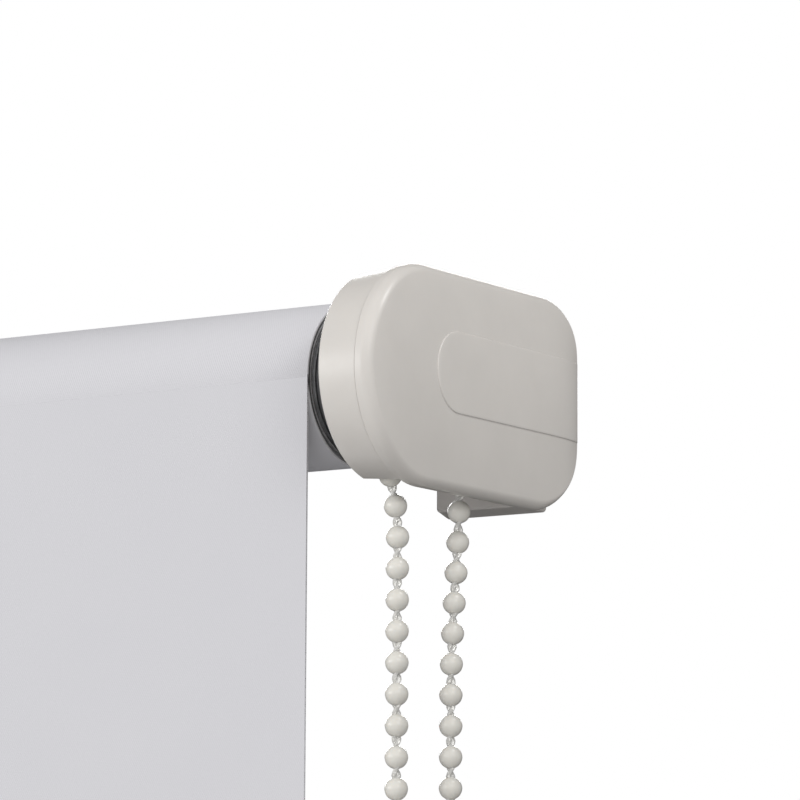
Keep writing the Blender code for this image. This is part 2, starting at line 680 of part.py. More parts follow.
def build_brake_springs(finish, axis):
    """Two wrap springs that grip the axle until the chain wheel or the roller pushes their ends."""
    first = WHEEL_COLLAR_END + BRAKE_WIRE
    last = PLUG_CAVITY_END - BRAKE_WIRE
    middle = (first + last) / 2
    spans = (("outer", first, middle - BRAKE_WIRE), ("inner", middle + BRAKE_WIRE, last))
    for label, near, far in spans:
        mesh = coil(BRAKE_RADIUS, BRAKE_WIRE, BRAKE_TURNS, station(CONTROL, near), station(CONTROL, far))
        add_object("brake_spring_" + label, mesh, finish, axis)


def rib_outline(angle, inner, outer, width):
    """The cross-section of one straight rib that stands out from a plug."""
    along = Vector((math.cos(angle), math.sin(angle)))
    across = Vector((-along.y, along.x)) * width / 2
    root = along * inner
    tip = along * outer
    corners = (root - across, tip - across, tip + across, root + across)
    return [(corner.x, corner.y) for corner in corners]


def add_ribs(plug, side, prefix):
    """Ribs that centre a plug in the tube; the tube's groove takes the place of one of them."""
    outer = TUBE_RADIUS - TUBE_WALL - GAP
    places = PLUG_RIBS + 1
    for number in range(1, places):
        angle = math.pi / 2 + math.tau * number / places
        outline = rib_outline(angle, PLUG_CORE_RADIUS - REACH, outer, PLUG_RIB_WIDTH)
        span = station(side, PLUG_FLANGE_FAR - REACH / 2), station(side, PLUG_END - PLUG_RIB_END_GAP)
        body = prism(outline, *span)
        fuse(plug, body, f"{prefix}_rib_{number}")


def build_tube_adaptor(finish, axis):
    """The clutch's output: a ribbed plug that drives the tube and holds the brake springs."""
    profile = [
        (station(CONTROL, PLUG_FLANGE_NEAR), PLUG_FLANGE_RADIUS),
        (station(CONTROL, PLUG_FLANGE_FAR), PLUG_FLANGE_RADIUS),
        (station(CONTROL, PLUG_FLANGE_FAR), PLUG_CORE_RADIUS),
        (station(CONTROL, PLUG_END), PLUG_CORE_RADIUS),
        (station(CONTROL, PLUG_END), AXLE_BORE),
        (station(CONTROL, PLUG_CAVITY_END), AXLE_BORE),
        (station(CONTROL, PLUG_CAVITY_END), PLUG_BORE_RADIUS),
        (station(CONTROL, PLUG_FLANGE_NEAR), PLUG_BORE_RADIUS),
    ]
    adaptor = add_object("tube_adaptor", turned(profile, bored=True), finish, axis)
    add_ribs(adaptor, CONTROL, "adaptor")
    span = station(CONTROL, PLUG_FLANGE_NEAR + REACH), station(CONTROL, PLUG_CAVITY_END + REACH)
    tang = sector(TANG_INNER, PLUG_BORE_RADIUS + REACH, *ADAPTOR_TANG_ANGLES, *span)
    fuse(adaptor, tang, "adaptor_tang")
    return adaptor


def build_hub_fastening(washer_finish, screw_finish, axis):
    """The washer and screw that keep the adaptor on the end of the axle."""
    washer_near = station(CONTROL, AXLE_END + GAP)
    washer_far = station(CONTROL, AXLE_END + GAP + HUB_WASHER_THICKNESS)
    bore = HUB_SCREW_SHANK + GAP
    profile = [
        (washer_near, HUB_WASHER_RADIUS),
        (washer_far, HUB_WASHER_RADIUS),
        (washer_far, bore),
        (washer_near, bore),
    ]
    add_object("hub_washer", turned(profile, SMALL_STEPS, bored=True), washer_finish, axis)
    head = washer_far - GAP
    profile = [
        (head - HUB_SCREW_HEAD_HEIGHT, HUB_SCREW_HEAD * HUB_SCREW_HEAD_TOP),
        (head - HUB_SCREW_HEAD_EDGE, HUB_SCREW_HEAD),
        (head, HUB_SCREW_HEAD),
        (head, HUB_SCREW_SHANK),
        (station(CONTROL, PLUG_END - HUB_SCREW_LENGTH), HUB_SCREW_SHANK),
    ]
    add_object("hub_screw", turned(profile, SMALL_STEPS), screw_finish, axis)


# ---------------------------------------------------------------- roller


def grooved_outline(radius, groove_half_width, groove_floor):
    """A circle with a groove let into its top."""
    opening = math.degrees(math.asin(groove_half_width / radius))
    points = arc((0, 0), radius, 90 + opening, 450 - opening, ROUND_STEPS)
    return points + [(groove_half_width, groove_floor), (-groove_half_width, groove_floor)]


def build_tube(finish, axis):
    """The aluminium tube, with the groove that holds the fabric's spline."""
    groove_floor = TUBE_RADIUS - GROOVE_DEPTH
    half = GROOVE_WIDTH / 2
    ends = station(IDLE, TUBE_SETBACK), station(CONTROL, TUBE_SETBACK)
    outline = grooved_outline(TUBE_RADIUS, half, groove_floor)
    tube = add_object("roller_tube", prism(outline, *ends), finish, axis)
    inner = grooved_outline(TUBE_RADIUS - TUBE_WALL, half + TUBE_WALL, groove_floor - TUBE_WALL)
    cut(tube, prism(inner, ends[0] - REACH, ends[1] + REACH), "tube_bore")
    return tube


def build_spline(finish, axis):
    """The strip in the tube's groove that traps the start of the fabric."""
    half = GROOVE_WIDTH / 2 - GAP
    low = TUBE_RADIUS - GROOVE_DEPTH + GAP
    outline = [(-half, low), (half, low), (half, low + SPLINE_HEIGHT), (-half, low + SPLINE_HEIGHT)]
    return add_object("fabric_spline", prism(outline, FABRIC_LEFT, FABRIC_RIGHT), finish, axis)


def build_roll(finish, axis):
    """The fabric wound on the tube."""
    outer = circle(ROLL_RADIUS)
    inner = circle(TUBE_RADIUS + GAP)
    return add_object("fabric_roll", sleeve(outer, inner, FABRIC_LEFT, FABRIC_RIGHT), finish, axis)


# ---------------------------------------------------------------- idle end


def build_idle_plug(finish, axis):
    """The plug in the idle end of the tube, hollow for the pin's spring."""
    bush_room = BUSH_OUTER + GAP
    bush_end = PLUG_FLANGE_NEAR + BUSH_LENGTH
    profile = [
        (station(IDLE, PLUG_FLANGE_NEAR), PLUG_FLANGE_RADIUS),
        (station(IDLE, PLUG_FLANGE_FAR), PLUG_FLANGE_RADIUS),
        (station(IDLE, PLUG_FLANGE_FAR), PLUG_CORE_RADIUS),
        (station(IDLE, PLUG_END), PLUG_CORE_RADIUS),
        (station(IDLE, PLUG_END), PIN_RADIUS + RUN_GAP),
        (station(IDLE, PLUG_CAVITY_END), PIN_RADIUS + RUN_GAP),
        (station(IDLE, PLUG_CAVITY_END), IDLE_BORE_RADIUS),
        (station(IDLE, bush_end), IDLE_BORE_RADIUS),
        (station(IDLE, bush_end), bush_room),
        (station(IDLE, PLUG_FLANGE_NEAR), bush_room),
    ]
    plug = add_object("idle_plug", turned(profile, bored=True), finish, axis)
    add_ribs(plug, IDLE, "plug")
    return plug


def build_idle_bush(finish, axis):
    """The plain bearing pressed into the plug, which turns on the pin."""
    near = station(IDLE, PLUG_FLANGE_NEAR)
    far = station(IDLE, PLUG_FLANGE_NEAR + BUSH_LENGTH)
    outer, inner = BUSH_OUTER, PIN_RADIUS + RUN_GAP
    profile = [(near, outer), (far, outer), (far, inner), (near, inner)]
    return add_object("idle_bush", turned(profile, SMALL_STEPS, bored=True), finish, axis)


def build_idle_pin(finish, guide):
    """The sprung pin that drops into the idle bracket; it slides into the roller to let the blind out."""
    tip = PLATE_DEPTH
    collar = PLUG_FLANGE_NEAR + BUSH_LENGTH + GAP
    collar_far = collar + PIN_COLLAR_THICKNESS
    profile = [
        (tip, PIN_RADIUS - PIN_CHAMFER),
        (tip + PIN_CHAMFER, PIN_RADIUS),
        (collar, PIN_RADIUS),
        (collar, PIN_COLLAR_RADIUS),
        (collar_far, PIN_COLLAR_RADIUS),
        (collar_far, PIN_RADIUS),
        (collar_far + PIN_TAIL, PIN_RADIUS),
    ]
    points = [(station(IDLE, depth), radius) for depth, radius in profile]
    return add_object("idle_pin", turned(points, SMALL_STEPS), finish, guide)


def build_idle_spring(finish, axis):
    """The compression spring behind the pin's collar."""
    near = PLUG_FLANGE_NEAR + BUSH_LENGTH + GAP + PIN_COLLAR_THICKNESS + IDLE_SPRING_WIRE
    far = PLUG_CAVITY_END - IDLE_SPRING_WIRE
    radius = (PIN_RADIUS + IDLE_BORE_RADIUS) / 2
    mesh = coil(radius, IDLE_SPRING_WIRE, IDLE_SPRING_TURNS, station(IDLE, near), station(IDLE, far))
    return add_object("idle_spring", mesh, finish, axis)


# ---------------------------------------------------------------- fabric and hem


def build_sheet(finish, root):
    """The fabric that hangs in front of the roll, down to the hem."""
    front = -AXIS_TO_WALL - SHEET_LEAD
    half = FABRIC_THICKNESS / 2
    low = (FABRIC_LEFT, front - half, HEM_POCKET_TOP + GAP)
    high = (FABRIC_RIGHT, front + half, 0.0)
    return add_object("fabric_sheet", block(low, high), finish, root)


def build_hem(finishes, carrier):
    """The fabric pocket, the bar in it and the two end caps, all about the hem's middle."""
    pocket = obround(HEM_POCKET_DEPTH / 2, HEM_POCKET_HEIGHT / 2)
    thickness = FABRIC_THICKNESS
    pocket_inner = obround(HEM_POCKET_DEPTH / 2 - thickness, HEM_POCKET_HEIGHT / 2 - thickness)
    mesh = sleeve(pocket, pocket_inner, FABRIC_LEFT, FABRIC_RIGHT)
    add_object("hem_pocket", mesh, finishes["fabric"], carrier)
    bar = obround(HEM_BAR_DEPTH / 2, HEM_BAR_HEIGHT / 2)
    bar_inner = obround(HEM_BAR_DEPTH / 2 - HEM_BAR_WALL, HEM_BAR_HEIGHT / 2 - HEM_BAR_WALL)
    bar_ends = FABRIC_LEFT + HEM_BAR_SETBACK, FABRIC_RIGHT - HEM_BAR_SETBACK
    add_object("hem_bar", sleeve(bar, bar_inner, *bar_ends), finishes["hem"], carrier)
    rim = obround(HEM_POCKET_DEPTH / 2 + HEM_CAP_RIM / 2, HEM_POCKET_HEIGHT / 2 + HEM_CAP_RIM / 2)
    soft = obround(HEM_POCKET_DEPTH / 2 - HEM_CAP_RIM / 4, HEM_POCKET_HEIGHT / 2 - HEM_CAP_RIM / 4)
    inset = HEM_BAR_WALL + GAP
    plug = obround(HEM_BAR_DEPTH / 2 - inset, HEM_BAR_HEIGHT / 2 - inset)
    for label, edge, outward in (("left", FABRIC_LEFT, -1), ("right", FABRIC_RIGHT, 1)):
        start = edge + outward * GAP
        loops = [
            loop_at(start - outward * HEM_CAP_PLUG, plug),
            loop_at(start, plug),
            loop_at(start, rim),
            loop_at(start + outward * HEM_CAP_THICKNESS / 2, rim),
            loop_at(start + outward * HEM_CAP_THICKNESS, soft),
        ]
        add_object("hem_cap_" + label, loft(loops), finishes["cover"], carrier)


# ---------------------------------------------------------------- chain


def strand(direction, closed):
    """One strand from the wheel down to the pulley as (y, z) points; direction is -1 front or +1 rear."""
    points = [(direction * WHEEL_RADIUS, 0.0), (direction * WHEEL_RADIUS, STRAND_TOP / 2)]
    for index in range(BLEND_STEPS + 1):
        share = index / BLEND_STEPS
        eased = share * share * (3 - 2 * share)
        y = WHEEL_RADIUS + (PULLEY_RADIUS - WHEEL_RADIUS) * eased
        points.append((direction * y, STRAND_TOP + (closed - STRAND_TOP) * share))
    for index in range(1, CHAIN_STEPS + 1):
        z = closed + (-CHAIN_DROP - closed) * index / CHAIN_STEPS
        points.append((direction * PULLEY_RADIUS, z))
    return points


def chain_route():
    """The chain's centre line as (y, z) points, from the connector over the wheel and pulley and back."""
    rear = strand(1, REAR_CLOSED)
    upper = [point for point in rear if point[1] > CONNECTOR_HEIGHT + CONNECTOR_LENGTH]
    lower = [point for point in rear if point[1] < CONNECTOR_HEIGHT - CONNECTOR_LENGTH]
    half_gap = CONNECTOR_LENGTH / 2 + GAP
    route = [(PULLEY_RADIUS, CONNECTOR_HEIGHT + half_gap)] + upper[::-1]
    route += arc((0, 0), WHEEL_RADIUS, 0, 180, 9)[1:-1]
    route += strand(-1, FRONT_CLOSED)
    route += arc((0, -CHAIN_DROP), PULLEY_RADIUS, 180, 360, 8)[1:-1]
    route += lower[::-1] + [(PULLEY_RADIUS, CONNECTOR_HEIGHT - half_gap)]
    return route


def build_chain(finish, axis):
    """The ball chain as a plain round tube along its whole route."""
    curve = bpy.data.curves.new("bead_chain", "CURVE")
    curve.dimensions = "3D"
    curve.bevel_depth = BEAD_RADIUS
    curve.bevel_resolution = 2
    curve.use_fill_caps = True
    route = chain_route()
    spline = curve.splines.new("POLY")
    spline.points.add(len(route) - 1)
    for point, (y, z) in zip(spline.points, route):
        point.co = (CHAIN_X, y, z, 1.0)
    curve.materials.append(finish)
    chain = bpy.data.objects.new("bead_chain", curve)
    bpy.context.scene.collection.objects.link(chain)
    chain.parent = axis
    return chain


def build_connector(finish, axis):
    """The clip that joins the two ends of the chain."""
    half = CONNECTOR_LENGTH / 2
    shoulder = half - CONNECTOR_RADIUS / 2
    loops = []
    for z, radius in (
        (-half, CONNECTOR_RADIUS * CONNECTOR_END),
        (-shoulder, CONNECTOR_RADIUS),
        (shoulder, CONNECTOR_RADIUS),
        (half, CONNECTOR_RADIUS * CONNECTOR_END),
    ):
        ring = circle(radius, SMALL_STEPS)
        loops.append([(CHAIN_X + dx, PULLEY_RADIUS + dy, CONNECTOR_HEIGHT + z) for dx, dy in ring])
    return add_object("chain_connector", loft(loops), finish, axis)


# ---------------------------------------------------------------- chain tensioner


def build_fork(finish, axis):
    """The wall-mounted fork that holds the pulley at the bottom of the chain."""
    inner = BEAD_RADIUS + GAP + PULLEY_FLANGE_THICKNESS + RUN_GAP
    base_front = AXIS_TO_WALL - FORK_BASE_THICKNESS
    low = (CHAIN_X - FORK_BASE_HALF_WIDTH, base_front, -CHAIN_DROP - FORK_BASE_HALF_HEIGHT)
    high = (CHAIN_X + FORK_BASE_HALF_WIDTH, AXIS_TO_WALL, -CHAIN_DROP + FORK_BASE_HALF_HEIGHT)
    fork = add_object("tensioner_fork", block(low, high), finish, axis)
    for label, side in (("left", -1), ("right", 1)):
        near = CHAIN_X + side * inner
        far = near + side * FORK_THICKNESS
        cheek = arc((0, -CHAIN_DROP), FORK_RADIUS, 270, 90, 14)
        rear = base_front + FORK_BASE_THICKNESS / 2
        cheek += [(rear, FORK_RADIUS - CHAIN_DROP), (rear, -FORK_RADIUS - CHAIN_DROP)]
        fuse(fork, prism(cheek, near, far), "fork_cheek_" + label)
    hole = circle(PULLEY_PIN_RADIUS + GAP, SMALL_STEPS, (0, -CHAIN_DROP))
    reach = inner + 2 * FORK_THICKNESS
    cut(fork, prism(hole, CHAIN_X - reach, CHAIN_X + reach), "fork_pin_hole")
    for number, offset in enumerate((FORK_SCREW_OFFSET, -FORK_SCREW_OFFSET)):
        hole = screw_cutter(CHAIN_X, -CHAIN_DROP + offset, SCREW_SEAT, base_front)
        cut(fork, hole, f"fork_screw_hole_{number}")
    return fork


def build_fork_screws(finish, axis):
    """The two wall screws of the fork."""
    for label, offset in (("upper", FORK_SCREW_OFFSET), ("lower", -FORK_SCREW_OFFSET)):
        name = "tensioner_wall_screw_" + label
        build_wall_screw(name, CHAIN_X, -CHAIN_DROP + offset, finish, axis)


def build_pulley(finish, carrier):
    """The pulley at the bottom of the chain, drawn about its own axis."""
    half = BEAD_RADIUS + GAP
    edge = half + PULLEY_FLANGE_THICKNESS
    core, rim, bore = PULLEY_CORE_RADIUS, PULLEY_FLANGE_RADIUS, PULLEY_PIN_RADIUS + RUN_GAP
    profile = [(-edge, rim), (-half, rim), (-half, core), (half, core), (half, rim), (edge, rim)]
    profile += [(edge, bore), (-edge, bore)]
    return add_object("tensioner_pulley", turned(profile, bored=True), finish, carrier)


def build_pulley_pin(finish, axis):
    """The headed pin that the pulley turns on."""
    reach = BEAD_RADIUS + GAP + PULLEY_FLANGE_THICKNESS + RUN_GAP + FORK_THICKNESS
    head = CHAIN_X + reach + GAP
    profile = [
        (CHAIN_X - reach, PULLEY_PIN_RADIUS),
        (head, PULLEY_PIN_RADIUS),
        (head, PULLEY_PIN_HEAD),
        (head + PULLEY_PIN_HEAD_THICKNESS / 2, PULLEY_PIN_HEAD),
        (head + PULLEY_PIN_HEAD_THICKNESS, PULLEY_PIN_HEAD * PULLEY_PIN_HEAD_TOP),
    ]
    loops = [loop_at(x, circle(radius, SMALL_STEPS, (0, -CHAIN_DROP))) for x, radius in profile]
    return add_object("tensioner_pin", loft(loops), finish, axis)


# ---------------------------------------------------------------- assembly


def build_end(side, prefix, finishes, axis):
    """The pieces that both ends have: bracket, housing, cap, badge and wall screws."""
    build_bracket(side, prefix, finishes["bracket"], axis)
    build_housing(side, prefix, finishes["cover"], axis)
    build_cap(side, prefix, finishes["cover"], axis)
    build_badge(side, prefix, finishes["badge"], axis)
    build_bracket_screws(side, prefix, finishes["screw"], axis)


def main():
    """Build the whole blind."""
    clear_scene()
    finishes = make_materials()
    axis = add_empty("roller_axis", (0.0, -AXIS_TO_WALL, 0.0))
    hem_carrier = add_empty("hem_carrier", (0.0, -AXIS_TO_WALL - SHEET_LEAD, HEM_CENTRE))
    pulley_axis = add_empty("pulley_axis", (CHAIN_X, -AXIS_TO_WALL, -CHAIN_DROP))

    build_end(CONTROL, "control", finishes, axis)
    build_hub(finishes["hub"], axis)
    build_chain_guide(finishes["hub"], axis)
    build_chain_wheel(finishes["wheel"], axis)
    build_brake_springs(finishes["spring"], axis)
    build_tube_adaptor(finishes["plug"], axis)
    build_hub_fastening(finishes["screw"], finishes["screw"], axis)

    build_tube(finishes["tube"], axis)
    build_spline(finishes["spline"], axis)
    build_roll(finishes["roll"], axis)

    build_end(IDLE, "idle", finishes, axis)
    build_idle_plug(finishes["plug"], axis)
    build_idle_bush(finishes["wheel"], axis)
    build_idle_pin(finishes["screw"], axis)
    build_idle_spring(finishes["spring"], axis)

    build_sheet(finishes["fabric"], None)
    build_hem(finishes, hem_carrier)

    build_chain(finishes["chain"], axis)
    build_connector(finishes["clear"], axis)
    build_fork(finishes["bracket"], axis)
    build_fork_screws(finishes["screw"], axis)
    build_pulley(finishes["wheel"], pulley_axis)
    build_pulley_pin(finishes["screw"], axis)
    bpy.context.view_layer.update()


main()
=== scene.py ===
"""Looks for a chain-driven roller blind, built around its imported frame.

The frame gives every size and place.  This script dresses the blind: it replaces the pieces whose
surface needs finer modelling (covers, fabric, bead chain) and gives each of the others a finish.
Metres, +Z up; X runs along the roller with the control end at +X, the wall is the plane Y = 0 and the
room is on its -Y side.
"""

import json
import logging
import math
from dataclasses import dataclass, field
from enum import Enum
from typing import Iterable, Sequence

import bmesh
import bpy
from mathutils import Matrix, Vector

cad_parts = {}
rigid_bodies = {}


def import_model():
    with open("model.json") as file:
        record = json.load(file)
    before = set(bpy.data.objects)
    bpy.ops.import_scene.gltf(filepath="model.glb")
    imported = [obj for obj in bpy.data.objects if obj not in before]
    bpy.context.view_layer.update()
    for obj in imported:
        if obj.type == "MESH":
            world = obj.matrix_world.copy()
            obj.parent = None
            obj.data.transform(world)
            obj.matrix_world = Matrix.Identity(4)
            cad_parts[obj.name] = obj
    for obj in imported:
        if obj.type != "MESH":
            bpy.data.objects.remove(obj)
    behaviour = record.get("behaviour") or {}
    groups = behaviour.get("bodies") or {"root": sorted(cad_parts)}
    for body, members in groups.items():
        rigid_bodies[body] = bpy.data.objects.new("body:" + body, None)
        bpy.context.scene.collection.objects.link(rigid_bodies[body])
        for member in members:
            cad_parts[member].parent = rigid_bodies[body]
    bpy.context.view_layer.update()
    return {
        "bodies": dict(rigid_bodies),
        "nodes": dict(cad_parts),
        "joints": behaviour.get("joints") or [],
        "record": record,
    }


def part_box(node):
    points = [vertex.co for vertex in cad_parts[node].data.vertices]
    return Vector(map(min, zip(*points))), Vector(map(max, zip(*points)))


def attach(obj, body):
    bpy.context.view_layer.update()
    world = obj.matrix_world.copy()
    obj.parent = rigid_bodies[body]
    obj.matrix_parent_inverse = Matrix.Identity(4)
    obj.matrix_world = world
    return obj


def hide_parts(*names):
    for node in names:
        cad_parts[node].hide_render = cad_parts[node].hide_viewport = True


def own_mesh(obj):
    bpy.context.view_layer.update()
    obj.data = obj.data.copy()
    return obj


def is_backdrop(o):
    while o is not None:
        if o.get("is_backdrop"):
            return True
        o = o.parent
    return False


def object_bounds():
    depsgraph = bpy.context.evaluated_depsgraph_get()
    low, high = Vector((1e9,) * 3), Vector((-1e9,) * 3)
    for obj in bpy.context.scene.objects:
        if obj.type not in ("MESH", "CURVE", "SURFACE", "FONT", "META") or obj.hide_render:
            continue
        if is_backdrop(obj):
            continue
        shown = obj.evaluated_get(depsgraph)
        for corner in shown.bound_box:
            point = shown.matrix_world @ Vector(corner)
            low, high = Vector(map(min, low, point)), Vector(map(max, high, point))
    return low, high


log = logging.getLogger("roller_blind")

Point = tuple[float, float, float]
Outline = list[tuple[float, float]]
Colour = tuple[float, float, float]
Stop = tuple[float, Colour]

FIXED_BODY = "mounting"
ROLLER_BODY = "roller"
HEM_BODY = "hem"
SHARP_ANGLE = 35.0
STRAIGHT_FROM = 0.006


class Side(Enum):
    """The two ends of the blind; the value is the sign of outwards along X."""

    CONTROL = 1
    IDLE = -1

    @property
    def prefix(self) -> str:
        """Start of the node names on this side.

        Returns:
            The start of the names.
        """
        return self.name.lower()


# ---------------------------------------------------------------- node trees


@dataclass
class Shader:
    """A material under construction, with short ways to add and join its nodes.

    Args:
        name: name of the material.
    """

    name: str
    made: bpy.types.Material = field(init=False)

    def __post_init__(self) -> None:
        self.made = bpy.data.materials.new(self.name)
        self.made.use_nodes = True

    @property
    def surface(self) -> bpy.types.Node:
        """The material's Principled shader.

        Returns:
            The shader node.
        """
        return self.made.node_tree.nodes["Principled BSDF"]

    def node(self, kind: str, **values: object) -> bpy.types.Node:
        """Add a node.

        Args:
            kind: Blender's name of the node type.
            values: attributes of the node, or values of its inputs where it has an input of that name.

        Returns:
            The new node.
        """
        made = self.made.node_tree.nodes.new(kind)
        for key, value in values.items():
            label = key.replace("_", " ").title() if key[0].islower() else key.replace("_", " ")
            if label in made.inputs:
                made.inputs[label].default_value = value
            else:
                setattr(made, key, value)
        return made

    def join(self, source: bpy.types.NodeSocket, target: bpy.types.NodeSocket) -> None:
        """Link one socket to another.

        Args:
            source: an output socket.
            target: an input socket.
        """
        self.made.node_tree.links.new(source, target)

    def place(self) -> bpy.types.NodeSocket:
        """Object coordinates, which are metres in the row's frame.

        Returns:
            The socket.
        """
        return self.node("ShaderNodeTexCoord").outputs["Object"]

    def split(self, source: bpy.types.NodeSocket) -> bpy.types.Node:
        """Split a vector into its X, Y and Z.

        Args:
            source: the vector.

        Returns:
            The node whose outputs are X, Y and Z.
        """
        parts = self.node("ShaderNodeSeparateXYZ")
        self.join(source, parts.inputs[0])
        return parts

    def maths(self, operation: str, *values: object) -> bpy.types.NodeSocket:
        """A Math node on sockets or numbers.

        Args:
            operation: the node's operation.
            values: sockets or plain numbers, in order.

        Returns:
            The result's socket.
        """
        made = self.node("ShaderNodeMath", operation=operation)
        for index, value in enumerate(values):
            if isinstance(value, (int, float)):
                made.inputs[index].default_value = value
            else:
                self.join(value, made.inputs[index])
        return made.outputs[0]

    def noise(self, scale: float, detail: float = 2.0, rough: float = 0.5) -> bpy.types.NodeSocket:
        """Fractal noise over the object's own coordinates.

        Args:
            scale: its scale.
            detail: number of octaves.
            rough: weight of the finer octaves.

        Returns:
            The socket of its value.
        """
        made = self.node("ShaderNodeTexNoise", scale=scale, detail=detail, roughness=rough)
        self.join(self.place(), made.inputs["Vector"])
        return made.outputs["Fac"]

    def ramp(self, factor: bpy.types.NodeSocket, stops: Sequence[Stop]) -> bpy.types.NodeSocket:
        """A colour ramp with the given stops, as (position, colour).

        Args:
            factor: the value looked up.
            stops: the stops, from low to high.

        Returns:
            The socket of the colour.
        """
        made = self.node("ShaderNodeValToRGB")
        elements = made.color_ramp.elements
        while len(elements) < len(stops):
            elements.new(0.5)
        for element, (position, colour) in zip(elements, stops):
            element.position = position
            element.color = (*colour, 1.0)
        self.join(factor, made.inputs["Fac"])
        return made.outputs["Color"]

    def spread(self, factor: bpy.types.NodeSocket, low: float, high: float) -> bpy.types.NodeSocket:
        """Map a 0 to 1 value onto low to high.

        Args:
            factor: the value.
            low: result at 0.
            high: result at 1.

        Returns:
            The socket of the result.
        """
        made = self.node("ShaderNodeMapRange")
        made.inputs["To Min"].default_value = low
        made.inputs["To Max"].default_value = high
        self.join(factor, made.inputs["Value"])
        return made.outputs["Result"]

    def bump(self, height: bpy.types.NodeSocket, distance: float, strength: float = 1.0) -> None:
        """Feed a height in 0 to 1 to the shader's normal, `distance` metres deep.

        Args:
            height: the height.
            distance: depth in metres.
            strength: share of the effect.
        """
        made = self.node("ShaderNodeBump", strength=strength, distance=distance)
        self.join(height, made.inputs["Height"])
        last = self.surface.inputs["Normal"]
        if last.is_linked:
            self.join(last.links[0].from_socket, made.inputs["Normal"])
        self.join(made.outputs["Normal"], last)


def shade(colour: Colour, factor: float) -> Colour:
    """A colour made lighter or darker by one factor.

    Args:
        colour: the colour.
        factor: how much lighter (above 1) or darker.

    Returns:
        The new colour.
    """
    return tuple(min(1.0, part * factor) for part in colour)


# ---------------------------------------------------------------- finishes


@dataclass(frozen=True)
class MouldedPlastic:
    """Injection-moulded plastic: faint flow mottling, fine spark texture and an even sheen.

    Args:
        name: material name.
        colour: base colour, linear.
        roughness: mean roughness.
        grain: height of the moulded texture in metres.
        coat: weight of the clear outer sheen.
        glow: weight of light scattered under the surface.
    """

    name: str
    colour: Colour
    roughness: float = 0.38
    grain: float = 0.00001
    coat: float = 0.0
    glow: float = 0.0

    def build(self) -> bpy.types.Material:
        """Make the material.

        Returns:
            The material.
        """
        work = Shader(self.name)
        shader = work.surface
        mottle = work.noise(90.0, 4.0, 0.55)
        dust = work.noise(900.0, 3.0, 0.6)
        tint = work.ramp(mottle, [(0.30, shade(self.colour, 0.975)), (0.70, shade(self.colour, 1.02))])
        work.join(tint, shader.inputs["Base Color"])
        rough = work.spread(dust, self.roughness - 0.05, self.roughness + 0.07)
        work.join(rough, shader.inputs["Roughness"])
        work.bump(work.noise(2600.0, 2.0, 0.5), self.grain)
        work.bump(work.noise(60.0, 1.0, 0.4), self.grain * 2.5, 0.6)
        shader.inputs["IOR"].default_value = 1.49
        shader.inputs["Coat Weight"].default_value = self.coat
        shader.inputs["Coat Roughness"].default_value = 0.22
        if self.glow:
            shader.inputs["Subsurface Weight"].default_value = self.glow
            shader.inputs["Subsurface Radius"].default_value = (1.0, 0.85, 0.7)
            shader.inputs["Subsurface Scale"].default_value = 0.0012
        return work.made


@dataclass(frozen=True)
class ClearPlastic:
    """Translucent moulded plastic, for the chain's thread and its connector.

    Args:
        name: material name.
        colour: tint, linear.
        roughness: mean roughness.
    """

    name: str
    colour: Colour
    roughness: float = 0.2

    def build(self) -> bpy.types.Material:
        """Make the material.

        Returns:
            The material.
        """
        work = Shader(self.name)
        shader = work.surface
        cloud = work.noise(400.0, 3.0)
        tint = work.ramp(cloud, [(0.2, shade(self.colour, 0.93)), (0.8, self.colour)])
        work.join(tint, shader.inputs["Base Color"])
        work.join(work.spread(cloud, self.roughness, self.roughness + 0.1), shader.inputs["Roughness"])
        shader.inputs["Transmission Weight"].default_value = 0.35
        shader.inputs["IOR"].default_value = 1.46
        work.bump(work.noise(1500.0, 2.0), 0.00001)
        return work.made


@dataclass(frozen=True)
class DrawnMetal:
    """Metal drawn or turned along one axis: streaks and small stains.

    Args:
        name: material name.
        colour: base colour, linear.
        roughness: mean roughness.
        stretch: scale of the streaks along X, Y and Z; small means long streaks that way.
    """

    name: str
    colour: Colour
    roughness: float
    stretch: Point = (4.0, 700.0, 700.0)

    def build(self) -> bpy.types.Material:
        """Make the material.

        Returns:
            The material.
        """
        work = Shader(self.name)
        shader = work.surface
        mapping = work.node("ShaderNodeMapping")
        mapping.inputs["Scale"].default_value = self.stretch
        work.join(work.place(), mapping.inputs["Vector"])
        streak = work.node("ShaderNodeTexNoise", scale=1.0, detail=5.0, roughness=0.6)
        work.join(mapping.outputs["Vector"], streak.inputs["Vector"])
        stain = work.noise(70.0, 4.0, 0.6)
        mixed = work.maths("MULTIPLY", streak.outputs["Fac"], work.spread(stain, 0.85, 1.15))
        tint = work.ramp(mixed, [(0.25, shade(self.colour, 0.86)), (0.75, shade(self.colour, 1.06))])
        work.join(tint, shader.inputs["Base Color"])
        rough = work.spread(mixed, self.roughness - 0.08, self.roughness + 0.14)
        work.join(rough, shader.inputs["Roughness"])
        shader.inputs["Metallic"].default_value = 1.0
        shader.inputs["Anisotropic"].default_value = 0.35
        work.bump(streak.outputs["Fac"], 0.000006)
        return work.made


